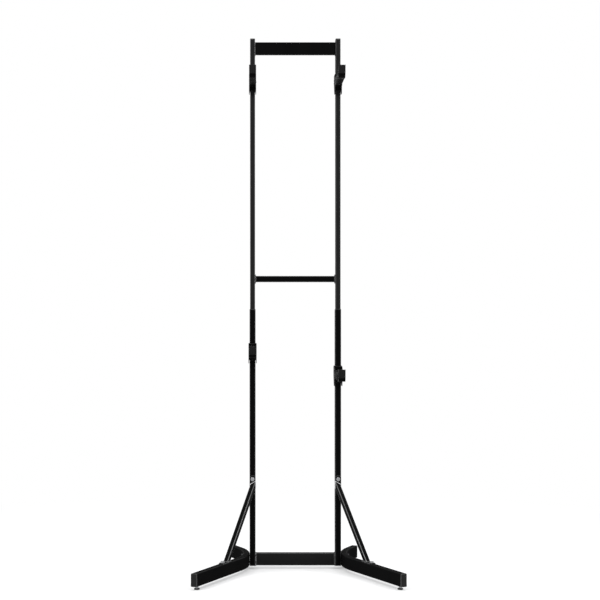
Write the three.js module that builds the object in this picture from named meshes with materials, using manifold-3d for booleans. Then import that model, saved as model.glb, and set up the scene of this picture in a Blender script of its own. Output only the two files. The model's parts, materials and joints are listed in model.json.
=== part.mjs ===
// Free-standing rack that holds two bicycles one above the other by their top tubes.
// Millimetres, +Z up, +Y to the back, origin on the floor in the middle of the outline.

import * as THREE from 'three';
import { mergeVertices } from 'three/addons/utils/BufferGeometryUtils.js';
import Module from 'manifold-3d';

const wasm = await Module();
wasm.setup();

// Overall
const overallHeight = 2134;
const levellerLift = 13;
const seatGap = 0.3;
const cutOverrun = 2;

// Posts: a slimmer upper tube stands in a wider lower one
const postSpacing = 344;
const lowerPostWidth = 24;
const lowerPostDepth = 44;
const postWall = 1.6;
const postCornerRadius = 2.5;
const telescopeClearance = 0.4;
const telescopeLength = 120;
const postJointHeight = 1045;
const jointScrewInset = 14;
const upperPostWidth = lowerPostWidth - 2 * (postWall + telescopeClearance);
const upperPostDepth = lowerPostDepth - 2 * (postWall + telescopeClearance);
const postCentreY = lowerPostDepth / 2;
const postX = postSpacing / 2;

// Plastic plugs that close the tube ends
const capThickness = 3;
const capCrown = 1.2;
const plugLength = 12;
const plugWall = 1.8;

// Feet: one bent rectangular tube on each side, its bend against the lower post
const footThickness = 25.4;
const footHeight = 50;
const footWall = 2;
const footCornerRadius = 3;
const footBendRadius = 300;
const footBendAngle = THREE.MathUtils.degToRad(26);
const footBendSteps = 13;
const footFrontLength = 374;
const footRearLength = 56;
const footCapThickness = 4;

// Levelling feet
const levellerInset = 22;
const levellerTravel = 12;
const levellerPadRadius = 11;
const levellerPadHeight = 5;
const levellerPadChamfer = 1.2;
const levellerCollarRadius = 6;

// Cross members
const baseBarHeight = 50;
const baseBarDepth = 25;
const barWall = 1.6;
const barCornerRadius = 2.4;
const barPlateThickness = 3;
const middleBarHeight = 25;
const middleBarDepth = 16;
const middleBarRise = 121.5;
const middleBarCentre = postJointHeight + middleBarRise;
const middleBarPlateHeight = 36;
const drainHoleRadius = 3;

// Top panel: a bare folded sheet between the upper posts
const panelHeight = 51;
const panelDrop = 15;
const panelTop = overallHeight - panelDrop;
const panelBottom = panelTop - panelHeight;
const panelSheet = 2;
const panelRecess = 3;
const panelFlangeDepth = 30;
const panelReturnDepth = 10;
const panelBendRadius = 4;

// Struts from the feet up to the front of the lower posts
const strutSize = 19;
const strutWall = 1.5;
const strutCornerRadius = 2;
const strutLowX = 272;
const strutLowY = -196;
const strutHighX = 170;
const strutHighZ = 334;
const strutPlateThickness = 3;
const strutPlateWidth = 24;
const strutPlateRadius = 8;
const strutTabTop = 376;
const strutTabBottom = 314;
const strutTabBoltZ = 362;
const strutFootBack = 22;
const strutFootFront = 52;
const strutFootBolt = 38;

// Fasteners
const boltRadius = 4;
const boltHeadFlats = 13;
const boltHeadHeight = 5.3;
const washerRadius = 8;
const washerThickness = 1.6;
const screwRadius = 2.5;
const screwHeadRadius = 4.5;
const screwHeadHeight = 2.8;
const screwSocketRadius = 1.6;
const screwSocketDepth = 1.6;
const holeClearance = 0.3;
const boltNutFlats = 13;
const boltNutHeight = 6.5;
const screwNutFlats = 8;
const screwNutHeight = 4;

// Arms: a folded bracket round the post, a tube beam and an upturned cradle
const armHeight = 78;
const armSheet = 2.5;
const armLobeHeight = 12;
const armLobeRadius = 6;
const armLobeReach = 16;
const armRearPlateHeight = 42;
const armNose = 44;
const beamBottom = 30;
const beamHeight = 30;
const beamWall = 2;
const beamCornerRadius = 3;
const cradleReach = 230;
const cradleWidth = 27;
const cradleOpening = 46;
const cradleSteel = 4;
const cradleFrontTop = 74;
const cradleRearTop = 69;
const cradleCornerRadius = 11;
const coverThickness = 2.2;
const coverRibHeight = 0.9;
const coverRibWidth = 4.4;
const coverRibs = 4;
const coverFrontFlap = 30;
const coverRearFlap = 6;
const coverEdgeRadius = 1.4;
const linerThickness = 1.2;
const linerFlange = 1.5;
const lowerRightArmDrop = 308;
const lowerLeftArmDrop = 217;
const upperArmDrop = 158;

// Clamp knobs behind the arms
const knobRadius = 16;
const knobHeight = 14;
const knobLobes = 5;
const knobLobeDepth = 3;
const knobHubRadius = 8;
const knobHubHeight = 5;
const knobChamfer = 1.5;

// Number of straight steps in round shapes
const cornerSteps = 2;
const roundSides = 10;
const knobSides = 30;

// Finishes
const finishes = {
  blackPaint: { color: 0x17181a, roughness: 0.38, metalness: 0.0 },
  blackPlastic: { color: 0x1f2021, roughness: 0.55, metalness: 0.0 },
  ribbedRubber: { color: 0x2b2c2e, roughness: 0.8, metalness: 0.0 },
  zincSteel: { color: 0xb4b6b9, roughness: 0.35, metalness: 1.0 },
  blackSteel: { color: 0x1b1c1e, roughness: 0.4, metalness: 0.6 },
  nylon: { color: 0x2a2b2c, roughness: 0.6, metalness: 0.0 },
};

// Shapes and solids

function roundedOutline(corners) {
  // Each corner is [x, y, radius]; a radius of zero keeps the corner sharp.
  const points = [];
  corners.forEach(([x, y, radius], index) => {
    const corner = new THREE.Vector2(x, y);
    if (radius === 0) {
      points.push(corner);
      return;
    }
    const before = corners[(index + corners.length - 1) % corners.length];
    const after = corners[(index + 1) % corners.length];
    const toBefore = new THREE.Vector2(before[0] - x, before[1] - y).normalize();
    const toAfter = new THREE.Vector2(after[0] - x, after[1] - y).normalize();
    const halfAngle = Math.acos(toBefore.dot(toAfter)) / 2;
    const centre = toBefore.clone().add(toAfter).normalize();
    centre.multiplyScalar(radius / Math.sin(halfAngle)).add(corner);
    const start = toBefore.clone().multiplyScalar(radius / Math.tan(halfAngle)).add(corner).sub(centre);
    const end = toAfter.clone().multiplyScalar(radius / Math.tan(halfAngle)).add(corner).sub(centre);
    const turn = Math.atan2(start.cross(end), start.dot(end));
    for (let step = 0; step <= cornerSteps; step += 1) {
      const arm = start.clone().rotateAround(new THREE.Vector2(), (turn * step) / cornerSteps);
      points.push(arm.add(centre));
    }
  });
  return points;
}

function rectangle(width, height, radius) {
  const x = width / 2;
  const y = height / 2;
  return roundedOutline([[-x, -y, radius], [x, -y, radius], [x, y, radius], [-x, y, radius]]);
}

function tubeSection(width, height, wall, radius) {
  const shape = new THREE.Shape(rectangle(width, height, radius));
  shape.holes.push(new THREE.Path(rectangle(width - 2 * wall, height - 2 * wall, 0)));
  return shape;
}

function extrude(outline, depth) {
  const shape = outline instanceof THREE.Shape ? outline : new THREE.Shape(outline);
  return new THREE.ExtrudeGeometry(shape, { depth, steps: 1, bevelEnabled: false });
}

// A side view drawn as forward reach and height, extruded across the part
function extrudeSideView(outline, width) {
  const geometry = extrude(outline, width);
  geometry.translate(0, 0, -width / 2);
  const forward = new THREE.Vector3(0, -1, 0);
  const up = new THREE.Vector3(0, 0, 1);
  return geometry.applyMatrix4(new THREE.Matrix4().makeBasis(forward, up, forward.clone().cross(up)));
}

function block(low, high) {
  const size = high.map((value, axis) => value - low[axis]);
  const centre = high.map((value, axis) => (value + low[axis]) / 2);
  return new THREE.BoxGeometry(...size).translate(...centre);
}

function rod(radius, from, to, sides = roundSides) {
  const start = new THREE.Vector3(...from);
  const direction = new THREE.Vector3(...to).sub(start);
  const geometry = new THREE.CylinderGeometry(radius, radius, direction.length(), sides);
  geometry.translate(0, direction.length() / 2, 0);
  const turn = new THREE.Quaternion().setFromUnitVectors(new THREE.Vector3(0, 1, 0), direction.normalize());
  return geometry.applyQuaternion(turn).translate(...from);
}

function merged(geometry) {
  const bare = geometry.clone();
  bare.deleteAttribute('normal');
  bare.deleteAttribute('uv');
  return mergeVertices(bare);
}

function toSolid(geometry) {
  const closed = merged(geometry);
  const vertProperties = new Float32Array(closed.attributes.position.array);
  const triVerts = new Uint32Array(closed.index.array);
  return new wasm.Manifold(new wasm.Mesh({ numProp: 3, vertProperties, triVerts }));
}

function toGeometry(solid) {
  const mesh = solid.getMesh();
  const geometry = new THREE.BufferGeometry();
  geometry.setAttribute('position', new THREE.BufferAttribute(new Float32Array(mesh.vertProperties), 3));
  geometry.setIndex(new THREE.BufferAttribute(new Uint32Array(mesh.triVerts), 1));
  return geometry;
}

function combine(parts, cuts = []) {
  let solid = toSolid(parts[0]);
  parts.slice(1).forEach((part) => { solid = solid.add(toSolid(part)); });
  cuts.forEach((cut) => { solid = solid.subtract(toSolid(cut)); });
  return toGeometry(solid);
}

function mirrored(geometry) {
  const copy = merged(geometry).scale(-1, 1, 1);
  const index = copy.index.array;
  for (let corner = 0; corner < index.length; corner += 3) {
    [index[corner], index[corner + 1]] = [index[corner + 1], index[corner]];
  }
  return copy;
}

const rack = new THREE.Group();

function addPiece(name, geometry, finish, carrier = rack) {
  const shaded = geometry.index ? geometry.toNonIndexed() : geometry.clone();
  shaded.computeVertexNormals();
  const mesh = new THREE.Mesh(shaded, new THREE.MeshStandardMaterial(finishes[finish]));
  mesh.name = name;
  carrier.add(mesh);
}

// Modelled on the right, then mirrored to the left
function addPair(name, geometry, finish) {
  addPiece(`${name}_right`, geometry, finish);
  addPiece(`${name}_left`, mirrored(geometry), finish);
}

// Fasteners lie along a direction: the head stands behind the start point

function alongDirection(geometry, point, direction) {
  const turn = new THREE.Quaternion();
  turn.setFromUnitVectors(new THREE.Vector3(0, 0, -1), new THREE.Vector3(...direction));
  return geometry.applyQuaternion(turn).translate(...point);
}

function hexBolt(point, direction, length) {
  const headBottom = washerThickness;
  const headRadius = boltHeadFlats / Math.sqrt(3);
  const head = rod(headRadius, [0, 0, 0], [0, 0, headBottom + boltHeadHeight], 6);
  const washer = rod(washerRadius, [0, 0, 0], [0, 0, washerThickness]);
  const shank = rod(boltRadius, [0, 0, -length], [0, 0, washerThickness / 2]);
  return alongDirection(combine([head, washer, shank]), point, direction);
}

function buttonScrew(point, direction, length) {
  const head = rod(screwHeadRadius, [0, 0, 0], [0, 0, screwHeadHeight]);
  const shank = rod(screwRadius, [0, 0, -length], [0, 0, screwHeadHeight / 2]);
  const socketFloor = screwHeadHeight - screwSocketDepth;
  const socket = rod(screwSocketRadius, [0, 0, socketFloor], [0, 0, screwHeadHeight + cutOverrun], 6);
  return alongDirection(combine([head, shank], [socket]), point, direction);
}

// A nut welded inside a tube stands on the wall's inner face and sinks into the weld by half the wall
function weldNut(point, direction, flats, height) {
  const low = point.map((value, axis) => value - (direction[axis] * barWall) / 2);
  const high = point.map((value, axis) => value + direction[axis] * height);
  return rod(flats / Math.sqrt(3), low, high, 6);
}

const boltHole = boltRadius + holeClearance;
const screwHole = screwRadius + holeClearance;

// Posts

const lowerPostOuterX = postX + lowerPostWidth / 2;
const lowerPostInnerX = postX - lowerPostWidth / 2;
const upperPostInnerX = postX - upperPostWidth / 2;
const upperPostFront = postCentreY - upperPostDepth / 2;
const upperPostBack = postCentreY + upperPostDepth / 2;
const upperPostBottom = postJointHeight - telescopeLength;
const upperPostTop = overallHeight - capThickness - seatGap;
const jointScrewZ = postJointHeight - jointScrewInset;
const footTop = levellerLift + footHeight;
const baseBoltHeights = [levellerLift + footHeight / 4, levellerLift + (3 * footHeight) / 4];
const panelCentreZ = panelTop - panelHeight / 2;
const panelScrewHeights = [panelCentreZ - panelHeight / 4, panelCentreZ + panelHeight / 4];
const middleScrewOffset = middleBarDepth / 2 + screwHeadRadius + seatGap;
const middleScrewYs = [postCentreY - middleScrewOffset, postCentreY + middleScrewOffset];

const postInside = postX - upperPostWidth / 2 - lowerPostWidth;
const lowerPost = combine(
  [
    extrude(tubeSection(lowerPostWidth, lowerPostDepth, postWall, postCornerRadius),
      postJointHeight - levellerLift).translate(postX, postCentreY, levellerLift),
    weldNut([postX, postWall, strutTabBoltZ], [0, 1, 0], boltNutFlats, boltNutHeight),
  ],
  [
    rod(boltHole, [postX, -cutOverrun, strutTabBoltZ], [postX, postCentreY, strutTabBoltZ]),
    rod(screwHole, [postX, postCentreY, jointScrewZ], [postX, lowerPostDepth + cutOverrun, jointScrewZ]),
    ...baseBoltHeights.map((z) => rod(boltHole, [postInside, postCentreY, z],
      [lowerPostOuterX + cutOverrun, postCentreY, z])),
  ],
);
addPair('lower_post', lowerPost, 'blackPaint');

const upperNutX = upperPostInnerX + postWall;
const upperPost = combine(
  [
    extrude(tubeSection(upperPostWidth, upperPostDepth, postWall, postCornerRadius),
      upperPostTop - upperPostBottom).translate(postX, postCentreY, upperPostBottom),
    weldNut([postX, upperPostBack - postWall, jointScrewZ], [0, -1, 0], screwNutFlats, screwNutHeight),
    ...middleScrewYs.map((y) => weldNut([upperNutX, y, middleBarCentre], [1, 0, 0],
      screwNutFlats, screwNutHeight)),
    ...panelScrewHeights.map((z) => weldNut([upperNutX, postCentreY, z], [1, 0, 0],
      screwNutFlats, screwNutHeight)),
  ],
  [
    rod(screwHole, [postX, postCentreY, jointScrewZ], [postX, upperPostBack + cutOverrun, jointScrewZ]),
    ...panelScrewHeights.map((z) => rod(screwHole, [postInside, postCentreY, z], [postX, postCentreY, z])),
    ...middleScrewYs.map((y) => rod(screwHole, [postInside, y, middleBarCentre],
      [postX, y, middleBarCentre])),
  ],
);
addPair('upper_post', upperPost, 'blackPaint');

// A cap is a flat head with a hollow plug; it is drawn with its plug along -Z from the tube's end
function plugCap(width, height, wall, radius, thickness) {
  const shoulder = extrude(rectangle(width, height, radius), thickness - capCrown);
  const crown = extrude(rectangle(width - 2 * capCrown, height - 2 * capCrown, radius), thickness);
  const plugWidth = width - 2 * (wall + seatGap);
  const plugHeight = height - 2 * (wall + seatGap);
  const plug = extrude(rectangle(plugWidth, plugHeight, 0), plugLength + thickness / 2);
  const hollow = extrude(rectangle(plugWidth - 2 * plugWall, plugHeight - 2 * plugWall, 0), plugLength);
  return combine(
    [shoulder, crown, plug.translate(0, 0, -plugLength)],
    [hollow.translate(0, 0, -plugLength - thickness / 2)],
  );
}

const postCap = plugCap(upperPostWidth, upperPostDepth, postWall, postCornerRadius, capThickness);
addPair('post_top_cap', postCap.translate(postX, postCentreY, upperPostTop + seatGap), 'blackPlastic');

// Cross members

// A tube bar between two end plates; holes are bored through the plates where the screws pass
function crossbar(span, height, depth, plateHeight, plateDepth, holes, holeRadius, nuts) {
  const tube = extrude(tubeSection(height, depth, barWall, barCornerRadius), span - barPlateThickness);
  tube.rotateY(Math.PI / 2).translate(-(span - barPlateThickness) / 2, 0, 0);
  const plate = extrude(rectangle(plateHeight, plateDepth, barCornerRadius), barPlateThickness);
  plate.rotateY(Math.PI / 2);
  const right = plate.clone().translate(span / 2 - barPlateThickness, 0, 0);
  const left = plate.clone().translate(-span / 2, 0, 0);
  const bores = holes.flatMap(([y, z]) => [-1, 1].map((side) => rod(holeRadius,
    [side * (span / 2 - barPlateThickness - boltNutHeight - cutOverrun), y, z],
    [side * (span / 2 + cutOverrun), y, z])));
  const drain = rod(drainHoleRadius, [0, 0, -height / 2 - cutOverrun], [0, 0, 0]);
  return combine([tube, right, left, ...nuts], [...bores, drain]);
}

const baseBarSpan = 2 * (lowerPostInnerX - seatGap);
const baseBarZ = levellerLift + baseBarHeight / 2;
const baseNutX = baseBarSpan / 2 - barPlateThickness;
const baseHoles = baseBoltHeights.map((z) => [0, z - baseBarZ]);
const baseNuts = baseHoles.flatMap(([y, z]) => [-1, 1].map((side) => weldNut([side * baseNutX, y, z],
  [-side, 0, 0], boltNutFlats, boltNutHeight)));
const baseBar = crossbar(baseBarSpan, baseBarHeight, baseBarDepth, baseBarHeight, lowerPostDepth,
  baseHoles, boltHole, baseNuts);
addPiece('base_crossbar', baseBar.translate(0, postCentreY, baseBarZ), 'blackPaint');

const middleBarSpan = 2 * (upperPostInnerX - seatGap);
const middleBar = crossbar(middleBarSpan, middleBarHeight, middleBarDepth, middleBarPlateHeight,
  upperPostDepth, middleScrewYs.map((y) => [y - postCentreY, 0]), screwHole, []);
addPiece('middle_crossbar', middleBar.translate(0, postCentreY, middleBarCentre), 'blackPaint');

// Top panel: one sheet with side flanges against the posts and short returns above and below
const panelHalf = upperPostInnerX - seatGap;
const panelFront = upperPostFront + panelRecess;
const panelPlan = roundedOutline([
  [-panelHalf, panelFront + panelFlangeDepth, 0],
  [-panelHalf, panelFront, panelBendRadius],
  [panelHalf, panelFront, panelBendRadius],
  [panelHalf, panelFront + panelFlangeDepth, 0],
  [panelHalf - panelSheet, panelFront + panelFlangeDepth, 0],
  [panelHalf - panelSheet, panelFront + panelSheet, panelBendRadius - panelSheet],
  [-panelHalf + panelSheet, panelFront + panelSheet, panelBendRadius - panelSheet],
  [-panelHalf + panelSheet, panelFront + panelFlangeDepth, 0],
]);
const panelReturnHalf = panelHalf - panelBendRadius;
const panelReturns = [panelBottom, panelTop - panelSheet].map((z) => block(
  [-panelReturnHalf, panelFront + panelSheet / 2, z],
  [panelReturnHalf, panelFront + panelReturnDepth, z + panelSheet],
));
const panelBores = panelScrewHeights.map((z) => rod(screwHole,
  [-panelHalf - cutOverrun, postCentreY, z], [panelHalf + cutOverrun, postCentreY, z]));
const topPanel = combine(
  [extrude(panelPlan, panelHeight).translate(0, 0, panelBottom), ...panelReturns], panelBores);
addPiece('top_panel', topPanel, 'blackPaint');

// Feet

class StationPath extends THREE.Curve {
  constructor(stations) {
    super();
    this.stations = stations;
  }

  getPoint(t, target = new THREE.Vector3()) {
    const place = t * (this.stations.length - 1);
    const index = Math.min(Math.floor(place), this.stations.length - 2);
    const [before, after] = [this.stations[index], this.stations[index + 1]];
    return target.lerpVectors(before.point, after.point, place - index);
  }

  getTangent(t, target = new THREE.Vector3()) {
    return target.copy(this.stations[Math.round(t * (this.stations.length - 1))].tangent);
  }

  getUtoTmapping(u) {
    return u;
  }
}

// The middle facet of the bend lies flat against the lower post
const bendHalfStep = footBendAngle / footBendSteps;
const footInnerX = lowerPostOuterX + seatGap;
const bendCentreX = footInnerX + footBendRadius * Math.cos(bendHalfStep);
const footOuterX = bendCentreX - (footBendRadius - footThickness) * Math.cos(bendHalfStep);
const footCentreRadius = footBendRadius - footThickness / 2;
const footCentreZ = levellerLift + footHeight / 2;

// A place on the foot's centre line: a turn round the bend, then a distance along the straight
function footPlace(turn, along) {
  const point = new THREE.Vector3(
    bendCentreX - footCentreRadius * Math.cos(turn),
    postCentreY - footCentreRadius * Math.sin(turn),
    footCentreZ,
  );
  const tangent = new THREE.Vector3(Math.sin(turn), -Math.cos(turn), 0);
  return { point: point.addScaledVector(tangent, along), tangent };
}

const footStations = [footPlace(-footBendAngle, -footRearLength)];
for (let step = 0; step <= footBendSteps; step += 1) {
  footStations.push(footPlace(footBendAngle * ((2 * step) / footBendSteps - 1), 0));
}
footStations.push(footPlace(footBendAngle, footFrontLength));

const levellerPlaces = {
  front: footPlace(footBendAngle, footFrontLength - levellerInset).point,
  rear: footPlace(-footBendAngle, levellerInset - footRearLength).point,
};
const footFrontUnit = footPlace(footBendAngle, 0).tangent;
const strutAlong = (strutLowX - footPlace(footBendAngle, 0).point.x) / footFrontUnit.x;
const strutFootBoltPlace = footPlace(footBendAngle, strutAlong + strutFootBolt).point;

const footTube = new THREE.ExtrudeGeometry(
  tubeSection(footHeight, footThickness, footWall, footCornerRadius),
  { extrudePath: new StationPath(footStations), steps: footStations.length - 1, bevelEnabled: false },
);
const footNuts = [
  ...Object.values(levellerPlaces).map(({ x, y }) => weldNut([x, y, levellerLift + footWall], [0, 0, 1],
    boltNutFlats, boltNutHeight)),
  weldNut([strutFootBoltPlace.x, strutFootBoltPlace.y, footTop - footWall], [0, 0, -1],
    boltNutFlats, boltNutHeight),
];
const foot = combine([footTube, ...footNuts], [
  ...baseBoltHeights.map((z) => rod(boltHole, [lowerPostInnerX, postCentreY, z],
    [footOuterX + footThickness, postCentreY, z])),
  ...Object.values(levellerPlaces).map(({ x, y }) => rod(boltHole, [x, y, 0], [x, y, footCentreZ])),
  rod(boltHole, [strutFootBoltPlace.x, strutFootBoltPlace.y, footCentreZ],
    [strutFootBoltPlace.x, strutFootBoltPlace.y, footTop + cutOverrun]),
]);
addPair('foot', foot, 'blackPaint');

function footCap(place, outward) {
  const cap = plugCap(footThickness, footHeight, footWall, footCornerRadius, footCapThickness);
  cap.translate(0, 0, seatGap);
  const up = new THREE.Vector3(0, 0, 1);
  const frame = new THREE.Matrix4().makeBasis(up.clone().cross(outward), up, outward);
  return cap.applyMatrix4(frame).translate(...place.point);
}

const footFrontEnd = footPlace(footBendAngle, footFrontLength);
const footRearEnd = footPlace(-footBendAngle, -footRearLength);
addPair('foot_front_cap', footCap(footFrontEnd, footFrontEnd.tangent), 'blackPlastic');
addPair('foot_rear_cap', footCap(footRearEnd, footRearEnd.tangent.clone().negate()), 'blackPlastic');

// Levelling feet: pad, collar and threaded stud turned as one; the collar stops against the foot
const levellerTop = levellerLift + footWall + boltNutHeight + levellerTravel + seatGap;
const levellerStop = levellerLift - seatGap;
const levellerProfile = [
  [0, 0],
  [levellerPadRadius - levellerPadChamfer, 0],
  [levellerPadRadius, levellerPadChamfer],
  [levellerPadRadius, levellerPadHeight - levellerPadChamfer],
  [levellerPadRadius - levellerPadChamfer, levellerPadHeight],
  [levellerCollarRadius, levellerPadHeight],
  [levellerCollarRadius, levellerStop],
  [boltRadius, levellerStop],
  [boltRadius, levellerTop],
  [0, levellerTop],
].map(([radius, height]) => new THREE.Vector2(radius, height));
const levellerShape = new THREE.LatheGeometry(levellerProfile, roundSides).rotateX(Math.PI / 2);
Object.entries(levellerPlaces).forEach(([end, { x, y }]) => {
  addPair(`leveller_${end}`, combine([levellerShape.clone().translate(x, y, 0)]), 'zincSteel');
});

// Struts: a square tube mitred onto a tab on the post and a plate on the foot

const strutTabBack = -seatGap;
const strutTabFront = strutTabBack - strutPlateThickness;
const strutPlateBottom = footTop + seatGap;
const strutPlateTop = strutPlateBottom + strutPlateThickness;
const strutLow = new THREE.Vector3(strutLowX, strutLowY, strutPlateTop);
const strutHigh = new THREE.Vector3(strutHighX, strutTabFront, strutHighZ);
const strutAxis = strutHigh.clone().sub(strutLow).normalize();
const strutSide = new THREE.Vector3(0, 0, 1).cross(strutAxis).normalize();
const strutTube = extrude(tubeSection(strutSize, strutSize, strutWall, strutCornerRadius),
  strutHigh.distanceTo(strutLow) + 4 * strutSize);
strutTube.translate(0, 0, -2 * strutSize);
const strutFrame = new THREE.Matrix4().makeBasis(strutSide, strutAxis.clone().cross(strutSide), strutAxis);
strutTube.applyMatrix4(strutFrame).translate(...strutLow.toArray());
const strutReach = strutLowX + footHeight;
const strutTrimHigh = block([0, strutTabFront + strutPlateThickness / 2, 0],
  [strutReach, lowerPostDepth * 4, overallHeight]);
const strutTrimLow = block([0, strutLowY - strutReach, -footHeight],
  [2 * strutReach, strutLowY + strutReach, strutPlateTop - strutPlateThickness / 2]);
const trimmedTube = combine([strutTube], [strutTrimHigh, strutTrimLow]);

const tabCentreZ = (strutTabTop + strutTabBottom) / 2;
const strutTab = extrude(rectangle(strutPlateWidth, strutTabTop - strutTabBottom, strutPlateRadius),
  strutPlateThickness).rotateX(Math.PI / 2).translate(postX, strutTabBack, tabCentreZ);
const strutPlate = extrude(rectangle(strutPlateWidth, strutFootBack + strutFootFront, strutPlateRadius),
  strutPlateThickness);
const plateCentre = footPlace(footBendAngle, strutAlong + (strutFootFront - strutFootBack) / 2).point;
strutPlate.rotateZ(footBendAngle).translate(plateCentre.x, plateCentre.y, strutPlateBottom);
const strutDrainTop = strutLow.clone().addScaledVector(strutAxis, strutSize * 2);
const strut = combine([trimmedTube, strutTab, strutPlate], [
  rod(boltHole, [postX, strutTabFront - cutOverrun, strutTabBoltZ], [postX, cutOverrun, strutTabBoltZ]),
  rod(boltHole, [strutFootBoltPlace.x, strutFootBoltPlace.y, footTop - cutOverrun],
    [strutFootBoltPlace.x, strutFootBoltPlace.y, strutPlateTop + cutOverrun]),
  rod(drainHoleRadius / 2, strutDrainTop.toArray(),
    strutDrainTop.clone().addScaledVector(strutSide, strutSize).toArray()),
]);
addPair('strut', strut, 'blackPaint');

// Bolts and screws

addPair('strut_top_bolt', hexBolt([postX, strutTabFront - seatGap, strutTabBoltZ], [0, 1, 0],
  strutPlateThickness + postWall + boltNutHeight + 2 * seatGap), 'zincSteel');
addPair('strut_foot_bolt', hexBolt([strutFootBoltPlace.x, strutFootBoltPlace.y, strutPlateTop + seatGap],
  [0, 0, -1], strutPlateThickness + footWall + boltNutHeight + 2 * seatGap), 'zincSteel');
addPair('post_joint_screw', buttonScrew([postX, lowerPostDepth + seatGap, jointScrewZ], [0, -1, 0],
  lowerPostDepth - upperPostBack + postWall + screwNutHeight + seatGap), 'blackSteel');

const levels = ['lower', 'upper'];
const sides = ['front', 'rear'];
baseBoltHeights.forEach((z, index) => {
  const bolt = hexBolt([footOuterX + seatGap, postCentreY, z], [-1, 0, 0],
    footOuterX + seatGap - baseNutX + boltNutHeight);
  addPair(`base_bolt_${levels[index]}`, bolt, 'blackSteel');
});
panelScrewHeights.forEach((z, index) => {
  const screw = buttonScrew([panelHalf - panelSheet - seatGap, postCentreY, z], [1, 0, 0],
    panelSheet + postWall + screwNutHeight + 2 * seatGap);
  addPair(`panel_screw_${levels[index]}`, screw, 'blackSteel');
});
middleScrewYs.forEach((y, index) => {
  const screw = buttonScrew([middleBarSpan / 2 - barPlateThickness - seatGap, y, middleBarCentre], [1, 0, 0],
    barPlateThickness + postWall + screwNutHeight + 2 * seatGap);
  addPair(`crossbar_screw_${sides[index]}`, screw, 'blackSteel');
});

// Arms, drawn from the front face of their post: forward reach first, then height

const lowerPostSize = { width: lowerPostWidth, depth: lowerPostDepth, front: 0 };
const upperPostSize = { width: upperPostWidth, depth: upperPostDepth, front: upperPostFront };
const sleeve = linerThickness + 2 * seatGap;
const cradleHalf = cradleOpening / 2 + coverThickness + coverRibHeight + seatGap;
const cradleOuter = cradleHalf + cradleSteel;
const cradleFloor = beamBottom + cradleSteel;
const beamTop = beamBottom + beamHeight;

function armGeometry(post) {
  const innerHalf = post.width / 2 + sleeve;
  const outerHalf = innerHalf + armSheet;
  const webFront = sleeve + armSheet;
  const rear = -(post.depth + sleeve + armSheet);
  const rearPlateBottom = armHeight - armRearPlateHeight;
  const cheekOutline = roundedOutline([
    [rear, armHeight, armLobeRadius],
    [rear, rearPlateBottom, armLobeRadius],
    [-post.depth / 2, 0, armLobeRadius],
    [armLobeReach, 0, armLobeRadius],
    [armLobeReach + armLobeRadius, beamBottom, armLobeRadius],
    [armNose, beamBottom, 0],
    [armNose, beamTop, armLobeRadius],
    [armLobeReach, armHeight, armLobeRadius],
  ]);
  const cheek = extrudeSideView(cheekOutline, armSheet);
  const cheeks = [-1, 1].map((side) => cheek.clone().translate(side * (innerHalf + armSheet / 2), 0, 0));
  const web = block([-outerHalf + armSheet / 2, -webFront, armLobeHeight],
    [outerHalf - armSheet / 2, -sleeve, armHeight]);
  const rearPlate = block([-outerHalf + armSheet / 2, -rear - armSheet, rearPlateBottom],
    [outerHalf - armSheet / 2, -rear, armHeight]);
  const beamLength = cradleReach - cradleOuter - sleeve;
  const beam = extrude(tubeSection(2 * innerHalf + armSheet, beamHeight, beamWall, beamCornerRadius),
    beamLength);
  beam.rotateX(Math.PI / 2).translate(0, -sleeve - armSheet / 2, beamBottom + beamHeight / 2);
  const strip = extrudeSideView(roundedOutline([
    [cradleOuter, cradleFrontTop, coverEdgeRadius],
    [cradleHalf, cradleFrontTop, coverEdgeRadius],
    [cradleHalf, cradleFloor, cradleCornerRadius],
    [-cradleHalf, cradleFloor, cradleCornerRadius],
    [-cradleHalf, cradleRearTop, coverEdgeRadius],
    [-cradleOuter, cradleRearTop, coverEdgeRadius],
    [-cradleOuter, beamBottom, cradleCornerRadius + cradleSteel],
    [cradleOuter, beamBottom, cradleCornerRadius + cradleSteel],
  ]), cradleWidth);
  strip.translate(0, -cradleReach, 0);
  const screwZ = rearPlateBottom + armRearPlateHeight / 2;
  const clampNut = rod(boltNutFlats / Math.sqrt(3), [0, -rear - armSheet / 2, screwZ],
    [0, -rear + boltNutHeight, screwZ], 6);
  return combine([...cheeks, web, rearPlate, beam, strip, clampNut], [
    rod(boltHole, [0, -rear - armSheet - cutOverrun, screwZ],
      [0, -rear + boltNutHeight + cutOverrun, screwZ]),
    rod(drainHoleRadius, [0, -armNose - cradleWidth, 0],
      [0, -armNose - cradleWidth, beamBottom + beamHeight / 2]),
  ]);
}

// The cover follows the cradle at a chosen thickness from a cut across it
function coverOutline(thickness) {
  const hidden = cradleHalf - seatGap;
  const shown = hidden - thickness;
  const outside = cradleOuter + seatGap;
  const floor = cradleFloor + seatGap;
  const hiddenRadius = cradleCornerRadius - seatGap;
  const shownRadius = hiddenRadius - thickness;
  const frontTop = cradleFrontTop + seatGap;
  const rearTop = cradleRearTop + seatGap;
  return roundedOutline([
    [outside + thickness, cradleFrontTop - coverFrontFlap, 0],
    [outside + thickness, frontTop + thickness, coverEdgeRadius],
    [shown, frontTop + thickness, coverEdgeRadius],
    [shown, floor + thickness, shownRadius],
    [-shown, floor + thickness, shownRadius],
    [-shown, rearTop + thickness, coverEdgeRadius],
    [-outside - thickness, rearTop + thickness, coverEdgeRadius],
    [-outside - thickness, cradleRearTop - coverRearFlap, 0],
    [-outside, cradleRearTop - coverRearFlap, 0],
    [-outside, rearTop, 0],
    [-hidden, rearTop, 0],
    [-hidden, floor, hiddenRadius],
    [hidden, floor, hiddenRadius],
    [hidden, frontTop, 0],
    [outside, frontTop, 0],
    [outside, cradleFrontTop - coverFrontFlap, 0],
  ]);
}

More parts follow.
